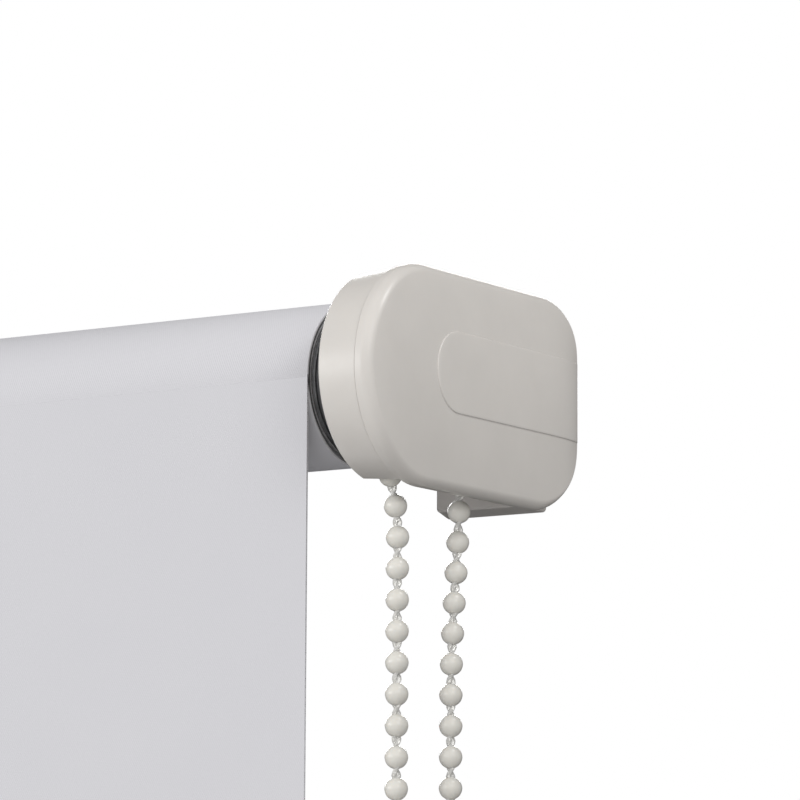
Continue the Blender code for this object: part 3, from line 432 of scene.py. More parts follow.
@dataclass(frozen=True)
class TwillFabric:
    """Fine white twill: slanting ribs crossed by single threads, uneven threads, painted shade in the
    valleys of the weave and a soft sheen.

    Args:
        name: material name.
        colour: base colour, linear.
        pitch: distance between ribs in metres.
        depth: height of the ribs in metres.
        around: centre line (y, z) for cloth wound on a roller, or None for flat cloth in the XZ plane.
        radius: outer radius of the wound cloth.
        slope: sideways run of the ribs for each metre down.
        fineness: spacing of the single threads as a share of the pitch.
    """

    name: str
    colour: Colour
    pitch: float = 0.00050
    depth: float = 0.000025
    around: tuple[float, float] | None = None
    radius: float = 0.016
    slope: float = 0.55
    fineness: float = 0.62

    def build(self) -> bpy.types.Material:
        """Make the material.

        Returns:
            The material.
        """
        work = Shader(self.name)
        shader = work.surface
        parts = work.split(work.place())
        across, down = parts.outputs["X"], parts.outputs["Z"]
        if self.around is not None:
            y = work.maths("SUBTRACT", parts.outputs["Y"], self.around[0])
            z = work.maths("SUBTRACT", parts.outputs["Z"], self.around[1])
            down = work.maths("MULTIPLY", work.maths("ARCTAN2", z, y), -self.radius)
        wander = work.maths("MULTIPLY", work.noise(260.0, 2.0), self.pitch * 0.35)
        slant = work.maths("ADD", across, work.maths("MULTIPLY", down, self.slope))
        rib = self.wave(work, work.maths("ADD", slant, wander), self.pitch)
        thread = self.wave(work, down, self.pitch * self.fineness)
        cross = self.wave(work, across, self.pitch * self.fineness)
        woven = work.maths("MULTIPLY", work.maths("ADD", thread, cross), 0.22)
        height = work.maths("ADD", work.maths("MULTIPLY", rib, 0.62), woven)
        cloud = work.noise(35.0, 3.0, 0.6)
        fibre = work.noise(3500.0, 2.0, 0.6)
        fibres = work.maths("MULTIPLY", fibre, 0.3)
        # partly painted shade: the weave's low valleys are drawn darker, while the fibre noise is the
        # threads' own random tone
        valley_shade_and_fibre_tone = work.maths("ADD", work.maths("MULTIPLY", height, 0.7), fibres)
        tint = work.ramp(valley_shade_and_fibre_tone, [(0.10, shade(self.colour, 0.955)), (0.85, shade(self.colour, 1.02))])
        clouded = work.node("ShaderNodeMixRGB", blend_type="MULTIPLY")
        clouded.inputs[0].default_value = 1.0
        work.join(tint, clouded.inputs[1])
        shadows = work.ramp(cloud, [(0.2, (0.975, 0.975, 0.98)), (0.8, (1.0, 1.0, 1.0))])
        work.join(shadows, clouded.inputs[2])
        work.join(clouded.outputs[0], shader.inputs["Base Color"])
        shader.inputs["Roughness"].default_value = 0.86
        shader.inputs["Sheen Weight"].default_value = 0.12
        shader.inputs["Sheen Roughness"].default_value = 0.5
        work.bump(height, self.depth)
        work.bump(fibre, 0.000008, 0.5)
        return work.made

    @staticmethod
    def wave(work: Shader, phase: bpy.types.NodeSocket, pitch: float) -> bpy.types.NodeSocket:
        """A 0 to 1 wave of the given pitch.

        Args:
            work: the material under construction.
            phase: distance across the waves.
            pitch: distance between two waves.

        Returns:
            The socket of the wave.
        """
        turned = work.maths("SINE", work.maths("MULTIPLY", phase, math.tau / pitch))
        return work.maths("MULTIPLY_ADD", turned, 0.5, 0.5)


@dataclass(frozen=True)
class ShadedRollEdge:
    """The cut edges of the wound cloth, drawn dark grey as painted shade for the roll's end in the
    cover's shadow: close layers, painted darkest in the gaps between them, with loose thread ends.

    Args:
        name: material name.
        centre: axis of the roll as (y, z).
        layer: thickness of one layer in metres.
    """

    name: str
    centre: tuple[float, float]
    layer: float

    def build(self) -> bpy.types.Material:
        """Make the material.

        Returns:
            The material.
        """
        work = Shader(self.name)
        shader = work.surface
        parts = work.split(work.place())
        y = work.maths("SUBTRACT", parts.outputs["Y"], self.centre[0])
        z = work.maths("SUBTRACT", parts.outputs["Z"], self.centre[1])
        squares = work.maths("ADD", work.maths("POWER", y, 2.0), work.maths("POWER", z, 2.0))
        radius = work.maths("SQRT", squares)
        turn = work.maths("MULTIPLY", work.maths("ARCTAN2", z, y), self.layer / math.tau)
        wound = work.maths("ADD", radius, turn)
        layers = TwillFabric.wave(work, wound, self.layer)
        ends = work.noise(2400.0, 3.0, 0.7)
        loose = work.maths("MULTIPLY", ends, 0.55)
        mixed = work.maths("ADD", work.maths("MULTIPLY", layers, 0.45), loose)
        # painted shade: near black in the gaps between layers and dark grey on the layers, for white
        # cloth whose end lies in shadow
        stops = [(0.32, (0.085, 0.083, 0.087)), (0.52, (0.24, 0.236, 0.243))]
        stops.append((0.78, (0.50, 0.50, 0.51)))
        tint = work.ramp(mixed, stops)
        work.join(tint, shader.inputs["Base Color"])
        shader.inputs["Roughness"].default_value = 0.9
        work.bump(mixed, 0.00025)
        return work.made


# ---------------------------------------------------------------- mesh tools


def arc(centre: tuple[float, float], radius: float, start: float, end: float, steps: int) -> Outline:
    """Points along an arc, both ends included; degrees, from +Y towards +Z.

    Args:
        centre: its centre.
        radius: its radius.
        start: angle of the first point.
        end: angle of the last point.
        steps: parts it is divided into.

    Returns:
        The points.
    """
    y, z = centre
    turns = [math.radians(start + (end - start) * index / steps) for index in range(steps + 1)]
    return [(y + radius * math.cos(turn), z + radius * math.sin(turn)) for turn in turns]


def circle(radius: float, steps: int, centre: tuple[float, float] = (0.0, 0.0)) -> Outline:
    """Points around a circle.

    Args:
        radius: its radius.
        steps: number of points.
        centre: its centre.

    Returns:
        The points, the first not repeated.
    """
    y, z = centre
    turns = [math.tau * index / steps for index in range(steps)]
    return [(y + radius * math.cos(turn), z + radius * math.sin(turn)) for turn in turns]


def at_x(x: float, outline: Outline) -> list[Point]:
    """An outline of (y, z) points, set at one X.

    Args:
        x: the X.
        outline: the outline.

    Returns:
        The points in space.
    """
    return [(x, y, z) for y, z in outline]


def quarter_round(steps: int) -> list[tuple[float, float]]:
    """Depth and inset of a quarter round of unit radius, from its side to its face.

    Args:
        steps: facets of the quarter.

    Returns:
        The (depth, inset) pairs.
    """
    turns = [math.pi / 2 * index / steps for index in range(steps + 1)]
    return [(1 - math.sin(turn), 1 - math.cos(turn)) for turn in turns]


def finished_mesh(work: bmesh.types.BMesh, name: str, outwards: bool = True) -> bpy.types.Mesh:
    """Write a mesh under construction into a new mesh.

    Args:
        work: the mesh under construction; it is freed.
        name: name of the new mesh.
        outwards: whether its normals are first turned out.

    Returns:
        The new mesh.
    """
    if outwards:
        bmesh.ops.recalc_face_normals(work, faces=work.faces)
    mesh = bpy.data.meshes.new(name)
    work.to_mesh(mesh)
    work.free()
    return mesh


def loft_mesh(loops: Sequence[Sequence[Point]], closed: bool = False) -> bpy.types.Mesh:
    """A mesh through loops with equally many points; open ends get a face.

    Args:
        loops: the loops, in order.
        closed: whether the last loop joins the first.

    Returns:
        The mesh, its normals pointing out.
    """
    work = bmesh.new()
    rings = [[work.verts.new(point) for point in loop] for loop in loops]
    count = len(rings[0])
    pairs = list(zip(rings, rings[1:]))
    if closed:
        pairs.append((rings[-1], rings[0]))
    for first, second in pairs:
        for index in range(count):
            following = (index + 1) % count
            work.faces.new((first[index], first[following], second[following], second[index]))
    if not closed:
        work.faces.new(rings[0])
        work.faces.new(rings[-1])
    return finished_mesh(work, "mesh")


def add_piece(
    name: str,
    mesh: bpy.types.Mesh,
    body: str,
    finish: bpy.types.Material,
    nodes: Iterable[str] = (),
    sharp: float = SHARP_ANGLE,
) -> bpy.types.Object:
    """Link a piece to the scene, let it ride on its body and stand for its CAD nodes.

    Args:
        name: name of the piece.
        mesh: its mesh.
        body: the body that carries it.
        finish: its material.
        nodes: CAD nodes that it replaces.
        sharp: edges above this angle in degrees stay sharp.

    Returns:
        The piece.
    """
    if not mesh.materials:
        mesh.materials.append(finish)
    mesh.shade_smooth()
    mesh.set_sharp_from_angle(angle=math.radians(sharp))
    made = bpy.data.objects.new(name, mesh)
    bpy.context.scene.collection.objects.link(made)
    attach(made, body)
    names = list(nodes)
    if names:
        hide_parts(*names)
    log.info("%s: %d faces on %s", name, len(mesh.polygons), body)
    return made


def boolean(target: bpy.types.Object, mesh: bpy.types.Mesh, operation: str) -> None:
    """Cut or add a helper body, then drop it.

    Args:
        target: the object to change.
        mesh: the helper's mesh.
        operation: DIFFERENCE or UNION.
    """
    helper = bpy.data.objects.new("helper", mesh)
    bpy.context.scene.collection.objects.link(helper)
    change = target.modifiers.new("boolean", "BOOLEAN")
    change.operation = operation
    change.object = helper
    change.solver = "EXACT"
    bake(target)
    bpy.data.objects.remove(helper, do_unlink=True)


def bake(target: bpy.types.Object) -> None:
    """Apply all modifiers of an object to its mesh.

    Args:
        target: the object.
    """
    graph = bpy.context.evaluated_depsgraph_get()
    mesh = bpy.data.meshes.new_from_object(target.evaluated_get(graph))
    target.modifiers.clear()
    target.data = mesh


# ---------------------------------------------------------------- sizes read from the frame


@dataclass(frozen=True)
class Layout:
    """Places that several assemblies share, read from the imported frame.

    Args:
        axis_y: Y of the roller axis.
        chain_x: X of the chain's plane.
        pulley_z: Z of the lower pulley's axis.
        sheet_radius: distance from the roller axis to the front of the hanging sheet.
        joints: joint records by name.
    """

    axis_y: float
    chain_x: float
    pulley_z: float
    sheet_radius: float
    joints: dict

    @classmethod
    def read(cls, frame: dict) -> "Layout":
        """Read the layout from the loaded frame.

        Args:
            frame: the loaded frame.

        Returns:
            The layout.
        """
        joints = {joint["name"]: joint for joint in frame["joints"]}
        axis = joints["roller_spin"]["pos_m"]
        pulley = joints["pulley_spin"]["pos_m"]
        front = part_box("fabric_sheet")[0][1]
        return cls(axis[1], pulley[0], pulley[2], axis[1] - front, joints)


# ---------------------------------------------------------------- end covers


@dataclass
class EndCover:
    """The housing, cap and blank badge of one end, with moulded fillets.

    Args:
        side: which end.
        layout: shared places.
        shell: finish of the housing and cap.
        plate: finish of the badge.
        nose_steps: facets of the nose.
        corner_steps: facets of each rear corner.
        wall: thickness of the covers' walls.
        corner_top: radius of the upper rear corner.
        corner_bottom: radius of the lower rear corner.
        fillet: radius of the cap's outer edge.
        cap_skirt: depth of the cap.
        face: thickness of the cap's face.
        parting: width of the groove between cap and housing.
        step: how far the housing stands inside the cap at the groove.
        draft: how much further in it stands at its rim.
        rim_round: radius of the rim.
        chain_opening: angle on the nose at which the housing starts.
        lip_bore: radius of the bore in the lip towards the roller.
        lip_thickness: thickness of that lip.
        lip_bottom: height of its lower edge.
        badge_height: how far the badge stands out, and the radius of its edge.
        badge_steps: facets of the badge's round end.
        badge_parts: parts of its straight sides.
        crown_height: how far the cap's face is domed.
        crown_power: how late the dome falls off along Y.
        face_rings: rings between a face's outline and its centre.
        rim_bevel: share of the rim's radius that its inside is cut back.
        rim_steps: facets of the rim's and the badge's rounded edges.
        fillet_steps: facets of the cap's outer edge.
        bore_steps: facets of the bore.
        seam_break: width of the housing's broken edge at the groove.
        seam_drop: depth of that edge.
        edge_break: size of the cap's broken edge at the groove.
        inner_break: size of the broken corner inside the cap.
        lip_setback: how far the lip starts inside the rim.
        straight_parts: parts of each long straight side of the cap.
    """

    side: Side
    layout: Layout
    shell: bpy.types.Material
    plate: bpy.types.Material
    nose_steps: int = 72
    corner_steps: int = 28
    wall: float = 0.0015
    corner_top: float = 0.0115
    corner_bottom: float = 0.0145
    fillet: float = 0.0018
    cap_skirt: float = 0.0029
    face: float = 0.0017
    parting: float = 0.00004
    step: float = 0.0003
    draft: float = 0.0007
    rim_round: float = 0.0005
    chain_opening: float = 256.0
    lip_bore: float = 0.0152
    lip_thickness: float = 0.001
    lip_bottom: float = -0.017
    badge_height: float = 0.00022
    badge_steps: int = 48
    badge_parts: int = 20
    crown_height: float = 0.0016
    crown_power: int = 8
    face_rings: int = 26
    rim_bevel: float = 0.2
    rim_steps: int = 4
    fillet_steps: int = 8
    bore_steps: int = 96
    seam_break: float = 0.00015
    seam_drop: float = 0.0002
    edge_break: float = 0.00012
    inner_break: float = 0.0004
    lip_setback: float = 0.0001
    straight_parts: int = 24

    def __post_init__(self) -> None:
        low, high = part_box(self.side.prefix + "_cap")
        rim_low, rim_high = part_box(self.side.prefix + "_housing")
        self.half = (high[2] - low[2]) / 2
        self.middle = (high[2] + low[2]) / 2
        self.nose_y = low[1] + self.half
        self.rear = high[1]
        outward = self.side.value
        self.face_x = high[0] if outward > 0 else low[0]
        self.rim_x = rim_low[0] if outward > 0 else rim_high[0]
        self.housing_rear = rim_high[1]

    def crown(self, y: float, z: float) -> float:
        """How far the slightly domed face stands out, signed along X; nothing at the cover's edges.

        Args:
            y: Y of the point.
            z: Z of the point.

        Returns:
            The distance in metres.
        """
        up = (z - self.middle) / self.half
        reach = (self.rear - self.nose_y + self.half) / 2
        along = (y - (self.rear - reach)) / reach
        share = max(0.0, 1 - up * up) * max(0.0, 1 - abs(along) ** self.crown_power)
        return self.side.value * self.crown_height * share

    def domed(self, x: float, outline: Outline, share: float = 1.0) -> list[Point]:
        """An outline set at one X and moved out by a share of the crown.

        Args:
            x: X of the flat outline.
            outline: the outline.
            share: share of the crown that is added.

        Returns:
            The points in space.
        """
        return [(x + share * self.crown(y, z), y, z) for y, z in outline]

    def station(self, depth: float) -> float:
        """X of a plane that lies `depth` inwards from the cap's outer face.

        Args:
            depth: distance inwards.

        Returns:
            The X.
        """
        return self.face_x - self.side.value * depth

    def outline(self, inset: float, start: float = 270.0) -> Outline:
        """The cover's side view from the nose to the rear top corner, as an open line.

        Args:
            inset: how far the line stands inside the outer one.
            start: angle on the nose at which it starts.

        Returns:
            The open line.
        """
        points = arc((self.nose_y, self.middle), self.half - inset, start, 90, self.nose_steps)
        top = (self.rear - self.corner_top, self.middle + self.half - self.corner_top)
        points += arc(top, self.corner_top - inset, 90, self.top_end, self.corner_steps)
        return points

    @property
    def top_end(self) -> float:
        """Angle on the upper rear corner at which the housing stops.

        Returns:
            The angle in degrees.
        """
        reach = self.housing_rear - (self.rear - self.corner_top)
        return math.degrees(math.acos(max(0.0, min(1.0, reach / self.corner_top))))

    def closed_outline(self, inset: float, flush_rear: bool = False) -> Outline:
        """The whole side view of the cap.

        Args:
            inset: how far the outline stands inside the outer one.
            flush_rear: whether it still reaches the rear edge, where the cap has no fillet.

        Returns:
            The closed outline.
        """
        points = arc((self.nose_y, self.middle), self.half - inset, 270, 90, self.nose_steps)
        top = (self.rear - self.corner_top, self.middle + self.half - self.corner_top)
        points += arc(top, self.corner_top - inset, 90, 0, self.corner_steps)
        bottom = (self.rear - self.corner_bottom, self.middle - self.half + self.corner_bottom)
        points += arc(bottom, self.corner_bottom - inset, 0, -90, self.corner_steps)
        if flush_rear:
            start = self.rear - self.corner_top
            stretch = self.corner_top / (self.corner_top - inset)
            points = [(y if y <= start else start + (y - start) * stretch, z) for y, z in points]
        return self.divided(points, self.straight_parts)

    @staticmethod
    def divided(points: Outline, parts: int) -> Outline:
        """A closed outline with extra points along its long straight sides.

        Args:
            points: the outline.
            parts: parts that each long side is divided into, the same for every inset.

        Returns:
            The divided outline.
        """
        made: Outline = []
        for (y, z), (next_y, next_z) in zip(points, points[1:] + points[:1]):
            made.append((y, z))
            length = math.hypot(next_y - y, next_z - z)
            if length > STRAIGHT_FROM:
                shares = [index / parts for index in range(1, parts)]
                made += [(y + (next_y - y) * share, z + (next_z - z) * share) for share in shares]
        return made

    def build(self) -> None:
        """Make the three pieces."""
        self.build_housing()
        self.build_cap()
        self.build_badge()

    def build_housing(self) -> None:
        """The band around the wheel: drafted, rounded at the rim, with a lip towards the roller."""
        rim_inset = self.step + self.draft
        seam_x = self.station(self.cap_skirt + self.parting)
        rim_x = self.rim_x
        outward = self.side.value
        section = [(rim_x + outward * self.rim_round * self.rim_bevel, rim_inset + self.wall)]
        for depth, inset in reversed(quarter_round(self.rim_steps)):
            x = rim_x + outward * self.rim_round * depth
            section.append((x, rim_inset + self.rim_round * inset))
        section.append((seam_x - outward * self.seam_break, self.step))
        section.append((seam_x, self.step + self.seam_drop))
        section.append((seam_x, self.step + self.wall))
        loops = [at_x(x, self.outline(inset, self.chain_opening)) for x, inset in section]
        piece = self.add_cover_piece("housing_shell", self.band(loops), "housing")
        lip_inset = rim_inset + self.wall / 2
        drop = (self.middle - self.lip_bottom) / (self.half - lip_inset)
        lip_angle = 180 + math.degrees(math.asin(drop))
        lip = self.outline(lip_inset, lip_angle)
        lip.append((lip[-1][0], self.lip_bottom))
        thick = outward * self.lip_thickness
        lip_mesh = loft_mesh([at_x(rim_x + outward * self.lip_setback, lip), at_x(rim_x + thick, lip)])
        boolean(piece, lip_mesh, "UNION")
        bore = circle(self.lip_bore, self.bore_steps, (self.layout.axis_y, 0.0))
        reach = 3 * thick
        boolean(piece, loft_mesh([at_x(rim_x - reach, bore), at_x(rim_x + reach, bore)]), "DIFFERENCE")
        self.finish_shading(piece)

    @staticmethod
    def band(loops: Sequence[Sequence[Point]]) -> bpy.types.Mesh:
        """A closed band from open lines that run round its section.

        Args:
            loops: the lines, in order round the section.

        Returns:
            The mesh.
        """
        work = bmesh.new()
        rings = [[work.verts.new(point) for point in loop] for loop in loops]
        count = len(rings[0])
        for first, second in zip(rings, rings[1:] + rings[:1]):
            for index in range(count - 1):
                work.faces.new((first[index], first[index + 1], second[index + 1], second[index]))
        work.faces.new([ring[0] for ring in rings])
        work.faces.new([ring[-1] for ring in rings])
        return finished_mesh(work, "band")

    @staticmethod
    def finish_shading(piece: bpy.types.Object) -> None:
        """Smooth shading with crisp cut edges, after a Boolean.

        Args:
            piece: the piece.
        """
        piece.data.shade_smooth()
        piece.data.set_sharp_from_angle(angle=math.radians(SHARP_ANGLE))
        change = piece.modifiers.new("weighted", "WEIGHTED_NORMAL")
        change.keep_sharp = True
        bake(piece)

    def build_cap(self) -> None:
        """The cap: domed face, rolled edge and skirt, with a fine line at the parting."""
        outward = self.side.value
        open_x = self.station(self.cap_skirt)
        inner_x = self.station(self.face)
        corner_x = self.station(self.face + self.inner_break)
        lip = self.edge_break
        section = [(inner_x, self.fillet + 2 * self.inner_break)]
        section += [(inner_x, self.wall + self.inner_break), (corner_x, self.wall)]
        section += [(open_x, self.wall), (open_x, lip), (open_x + outward * lip, 0.0)]
        loops = [at_x(x, self.closed_outline(inset)) for x, inset in section]
        for depth, inset in quarter_round(self.fillet_steps):
            outline = self.closed_outline(self.fillet * inset, flush_rear=True)
            loops.append(self.domed(self.station(self.fillet * depth), outline, 1 - depth))
        face = self.closed_outline(self.fillet, flush_rear=True)
        centre = ((self.rear + self.nose_y - self.half) / 2, self.middle)
        loops += self.closing_rings(self.face_x, face, centre)
        piece = self.add_cover_piece("cap_shell", loft_mesh(loops), "cap")
        self.finish_shading(piece)

    def add_cover_piece(self, name: str, mesh: bpy.types.Mesh, node: str) -> bpy.types.Object:
        """Add a moulded piece of this end.

        Args:
            name: name of the piece, without the side.
            mesh: its mesh.
            node: the CAD node it stands for, without the side.

        Returns:
            The piece.
        """
        prefix = self.side.prefix + "_"
        return add_piece(prefix + name, mesh, FIXED_BODY, self.shell, [prefix + node])

    def closing_rings(self, x: float, face: Outline, centre: tuple[float, float]) -> list[list[Point]]:
        """Rings that close a domed face, each nearer to its centre.

        Args:
            x: X of the face before it is domed.
            face: its outline.
            centre: the point that the rings shrink to.

        Returns:
            The rings, outermost first.
        """
        rings = []
        for index in range(1, self.face_rings):
            scale = 1 - index / self.face_rings
            ring = [tuple(mid + (part - mid) * scale for part, mid in zip(spot, centre)) for spot in face]
            rings.append(self.domed(x, ring))
        return rings

    def badge_outline(self, radius: float, rear: float) -> Outline:
        """The badge's side view: a round end in front of the roller axis, run out straight to the rear.

        Args:
            radius: radius of its round end.
            rear: Y of its rear end.

        Returns:
            The closed outline.
        """
        low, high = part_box(self.side.prefix + "_badge")
        start = low[1] + (high[2] - low[2]) / 2
        points = arc((start, 0.0), radius, 270, 90, self.badge_steps)
        count = self.badge_parts
        upper = [(start + (rear - start) * index / count, radius) for index in range(1, count + 1)]
        lower = [(y, -radius) for y, _ in reversed(upper)]
        return points + upper + lower

    def build_badge(self) -> None:
        """The blank plate, slightly pillowed towards its edges."""
        low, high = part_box(self.side.prefix + "_badge")
        radius = (high[2] - low[2]) / 2
        outward = self.side.value
        outer = self.station(-self.badge_height)
        inner = low[0] if outward > 0 else high[0]
        loops = [at_x(inner, self.badge_outline(radius, high[1]))]
        edge = self.badge_height
        for depth, inset in quarter_round(self.rim_steps):
            outline = self.badge_outline(radius - edge * inset, high[1] - edge * inset)
            loops.append(self.domed(outer - outward * edge * depth, outline))
        face = self.badge_outline(radius - edge, high[1] - edge)
        loops += self.closing_rings(outer, face, ((low[1] + high[1]) / 2, 0.0))
        add_piece(
            self.side.prefix + "_badge_plate", loft_mesh(loops), FIXED_BODY, self.plate,
            [self.side.prefix + "_badge"],
        )


# ---------------------------------------------------------------- fabric


@dataclass
class RollerFabric:
    """The wound roll, the hanging sheet and the hem pocket.

    Args:
        layout: shared places.
        sheet_finish: finish of the flat cloth.
        roll_finish: finish of the wound cloth.
        edge_shade_finish: dark finish with painted shade, for the cut edges at the roll's ends and the
            thread ends at the sheet's sides.
        layer: thickness of one layer of wound cloth.
        thickness: thickness of the sheet and of the roll's outer layer.
        steps: facets around the roll.
        tube_gap: gap between the tube and the innermost layer.
        uneven: how far single layers stand out at the ends.
        sheet_columns: facets across the sheet.
        sheet_rows: facets down the sheet.
        slack: height of the sheet's long wave.
        small_slack: height of its short wave.
        thread_pitch: distance between the threads at its cut edges.
        thread_reach: how far they stand out.
        thread_inset: how far they lie inside its faces.
        pocket_steps: facets of half the pocket.
    """

    layout: Layout
    sheet_finish: bpy.types.Material
    roll_finish: bpy.types.Material
    edge_shade_finish: bpy.types.Material
    layer: float = 0.0004
    thickness: float = 0.0005
    steps: int = 160
    tube_gap: float = 0.0003
    uneven: float = 0.00012
    sheet_columns: int = 90
    sheet_rows: int = 130
    slack: float = 0.00022
    small_slack: float = 0.00008
    thread_pitch: float = 0.00045
    thread_reach: float = 0.00012
    thread_inset: float = 0.00008
    pocket_steps: int = 24

    def build(self) -> None:
        """Make the pieces."""
        self.build_roll()
        self.build_sheet()
        self.build_pocket()

    def build_roll(self) -> None:
        """The roll: close layers whose cut edges show at the ends in painted shade, under one light outer
        layer.
        """
        low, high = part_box("fabric_roll")
        tube_low, tube_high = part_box("roller_tube")
        inner = (tube_high[1] - tube_low[1]) / 2 + self.tube_gap
        outer = self.layout.sheet_radius
        top_layer = outer - self.thickness
        wraps = max(2, round((top_layer - inner) / self.layer))
        pitch = (top_layer - inner) / wraps
        centre = (self.layout.axis_y, 0.0)
        section = []
        for index in range(wraps):
            start = inner + pitch * index
            out_by = self.uneven * math.sin(index * 2.4)
            section += [
                (0.00035, start),
                (0.0001 + out_by, start + pitch * 0.22),
                (0.0001 + out_by, start + pitch * 0.78),
            ]
        edge = self.thickness
        section += [(0.00035, top_layer), (0.0, top_layer + edge * 0.15)]
        section += [(0.0, outer - edge * 0.2), (0.00012, outer)]
        left = [(low[0] + depth, radius) for depth, radius in section]
        right = [(high[0] - depth, radius) for depth, radius in reversed(section)]
        rings = left + right
        loops = [at_x(x, circle(radius, self.steps, centre)) for x, radius in rings]
        mesh = loft_mesh(loops, closed=True)
        mesh.materials.append(self.roll_finish)
        mesh.materials.append(self.edge_shade_finish)
        # the roll's end faces take the dark painted-shade edge finish
        for face in mesh.polygons:
            distance = math.hypot(face.center.y - centre[0], face.center.z)
            if distance < top_layer - pitch * 0.05:
                face.material_index = 1
        nodes = ["fabric_roll"]
        add_piece("wound_fabric", mesh, ROLLER_BODY, self.roll_finish, nodes, sharp=50)

    def build_sheet(self) -> None:
        """The hanging sheet: thin cloth, slack by a few tenths of a millimetre."""
        low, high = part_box("fabric_sheet")
        width = high[0] - low[0]
        height = high[2] - low[2]
        columns, rows = self.sheet_columns, self.sheet_rows
        middle = (low[1] + high[1]) / 2
        half = (high[1] - low[1]) / 2 - 0.00001
        work = bmesh.new()
        front, back = [], []
        for row in range(rows + 1):
            fall = row / rows
            z = high[2] - height * fall
            front_row, back_row = [], []
            for column in range(columns + 1):
                share = column / columns
                x = low[0] + width * share
                slack = self.slack * math.sin(share * 9.0 + fall * 2.0)
                slack += self.small_slack * math.sin(share * 23.0 + 1.0)
                y = middle + slack * min(1.0, fall * 4.0) * (1 - fall * 0.5)
                front_row.append(work.verts.new((x, y - half, z)))
                back_row.append(work.verts.new((x, y + half, z)))
            front.append(front_row)
            back.append(back_row)
        for grid in (front, back):
            for upper, lower in zip(grid, grid[1:]):
                for column in range(columns):
                    following = column + 1
                    work.faces.new((upper[column], lower[column], lower[following], upper[following]))
        for column in (0, columns):
            edges = [(front[row][column], back[row][column]) for row in range(rows + 1)]
            self.close_edge(work, edges)
        for row in (0, rows):
            self.close_edge(work, list(zip(front[row], back[row])))
        mesh = finished_mesh(work, "sheet")
        cloth = self.sheet_finish
        sheet = add_piece("hanging_fabric", mesh, FIXED_BODY, cloth, ["fabric_sheet"], sharp=60)
        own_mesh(sheet)
        threads = self.build_edge_threads(low, high)
        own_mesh(threads)

    @staticmethod
    def close_edge(work: bmesh.types.BMesh, edges: Sequence[Sequence[bmesh.types.BMVert]]) -> None:
        """Join the front and the back of the cloth along one border.

        Args:
            work: the mesh under construction.
            edges: (front, back) corners along the border.
        """
        for (front, back), (next_front, next_back) in zip(edges, edges[1:]):
            work.faces.new((front, next_front, next_back, back))

    def build_edge_threads(self, low: Sequence[float], high: Sequence[float]) -> bpy.types.Object:
        """The ends of the cross threads, which stand out of both cut edges a little, drawn in the dark
        painted-shade edge finish.

        Args:
            low: lowest corner of the sheet.
            high: highest corner of the sheet.

        Returns:
            The threads.
        """
        pitch = self.thread_pitch
        reach = self.thread_reach
        y_front, y_back = low[1] + self.thread_inset, high[1] - self.thread_inset
        work = bmesh.new()
        for edge, outward in ((low[0], -1), (high[0], 1)):
            for number in range(int((high[2] - low[2]) / pitch)):
                z = low[2] + pitch * (number + 0.5)
                length = reach * (0.7 + 0.3 * math.sin(number * 1.7))
                half = pitch * 0.27
                root = edge - outward * 0.0001
                tip = edge + outward * length
                rim = ((y_front, z - half), (y_back, z - half), (y_back, z + half), (y_front, z + half))
                corners = [work.verts.new((root, y, height)) for y, height in rim]
                point = work.verts.new((tip, (y_front + y_back) / 2, z - half * 0.5))
                for first, second in zip(corners, corners[1:] + corners[:1]):
                    work.faces.new((first, second, point))
                work.faces.new(corners[::-1])
        mesh = finished_mesh(work, "threads")
        return add_piece("edge_threads", mesh, FIXED_BODY, self.edge_shade_finish)

    def build_pocket(self) -> None:
        """The pocket: cloth wrapped around the hem bar."""
        low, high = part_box("hem_pocket")
        y = (low[1] + high[1]) / 2
        z = (low[2] + high[2]) / 2
        half_depth, half_height = (high[1] - low[1]) / 2, (high[2] - low[2]) / 2
        straight = half_height - half_depth
        wall = self.thickness
        loops = []
        for x, inset in ((low[0], wall), (low[0], 0.0), (high[0], 0.0), (high[0], wall)):
            upper = arc((y, z + straight), half_depth - inset, 0, 180, self.pocket_steps)
            lower = arc((y, z - straight), half_depth - inset, 180, 360, self.pocket_steps)
            loops.append(at_x(x, upper + lower))
        mesh = loft_mesh(loops, closed=True)
        add_piece("hem_cloth", mesh, HEM_BODY, self.sheet_finish, ["hem_pocket"])


# ---------------------------------------------------------------- chain


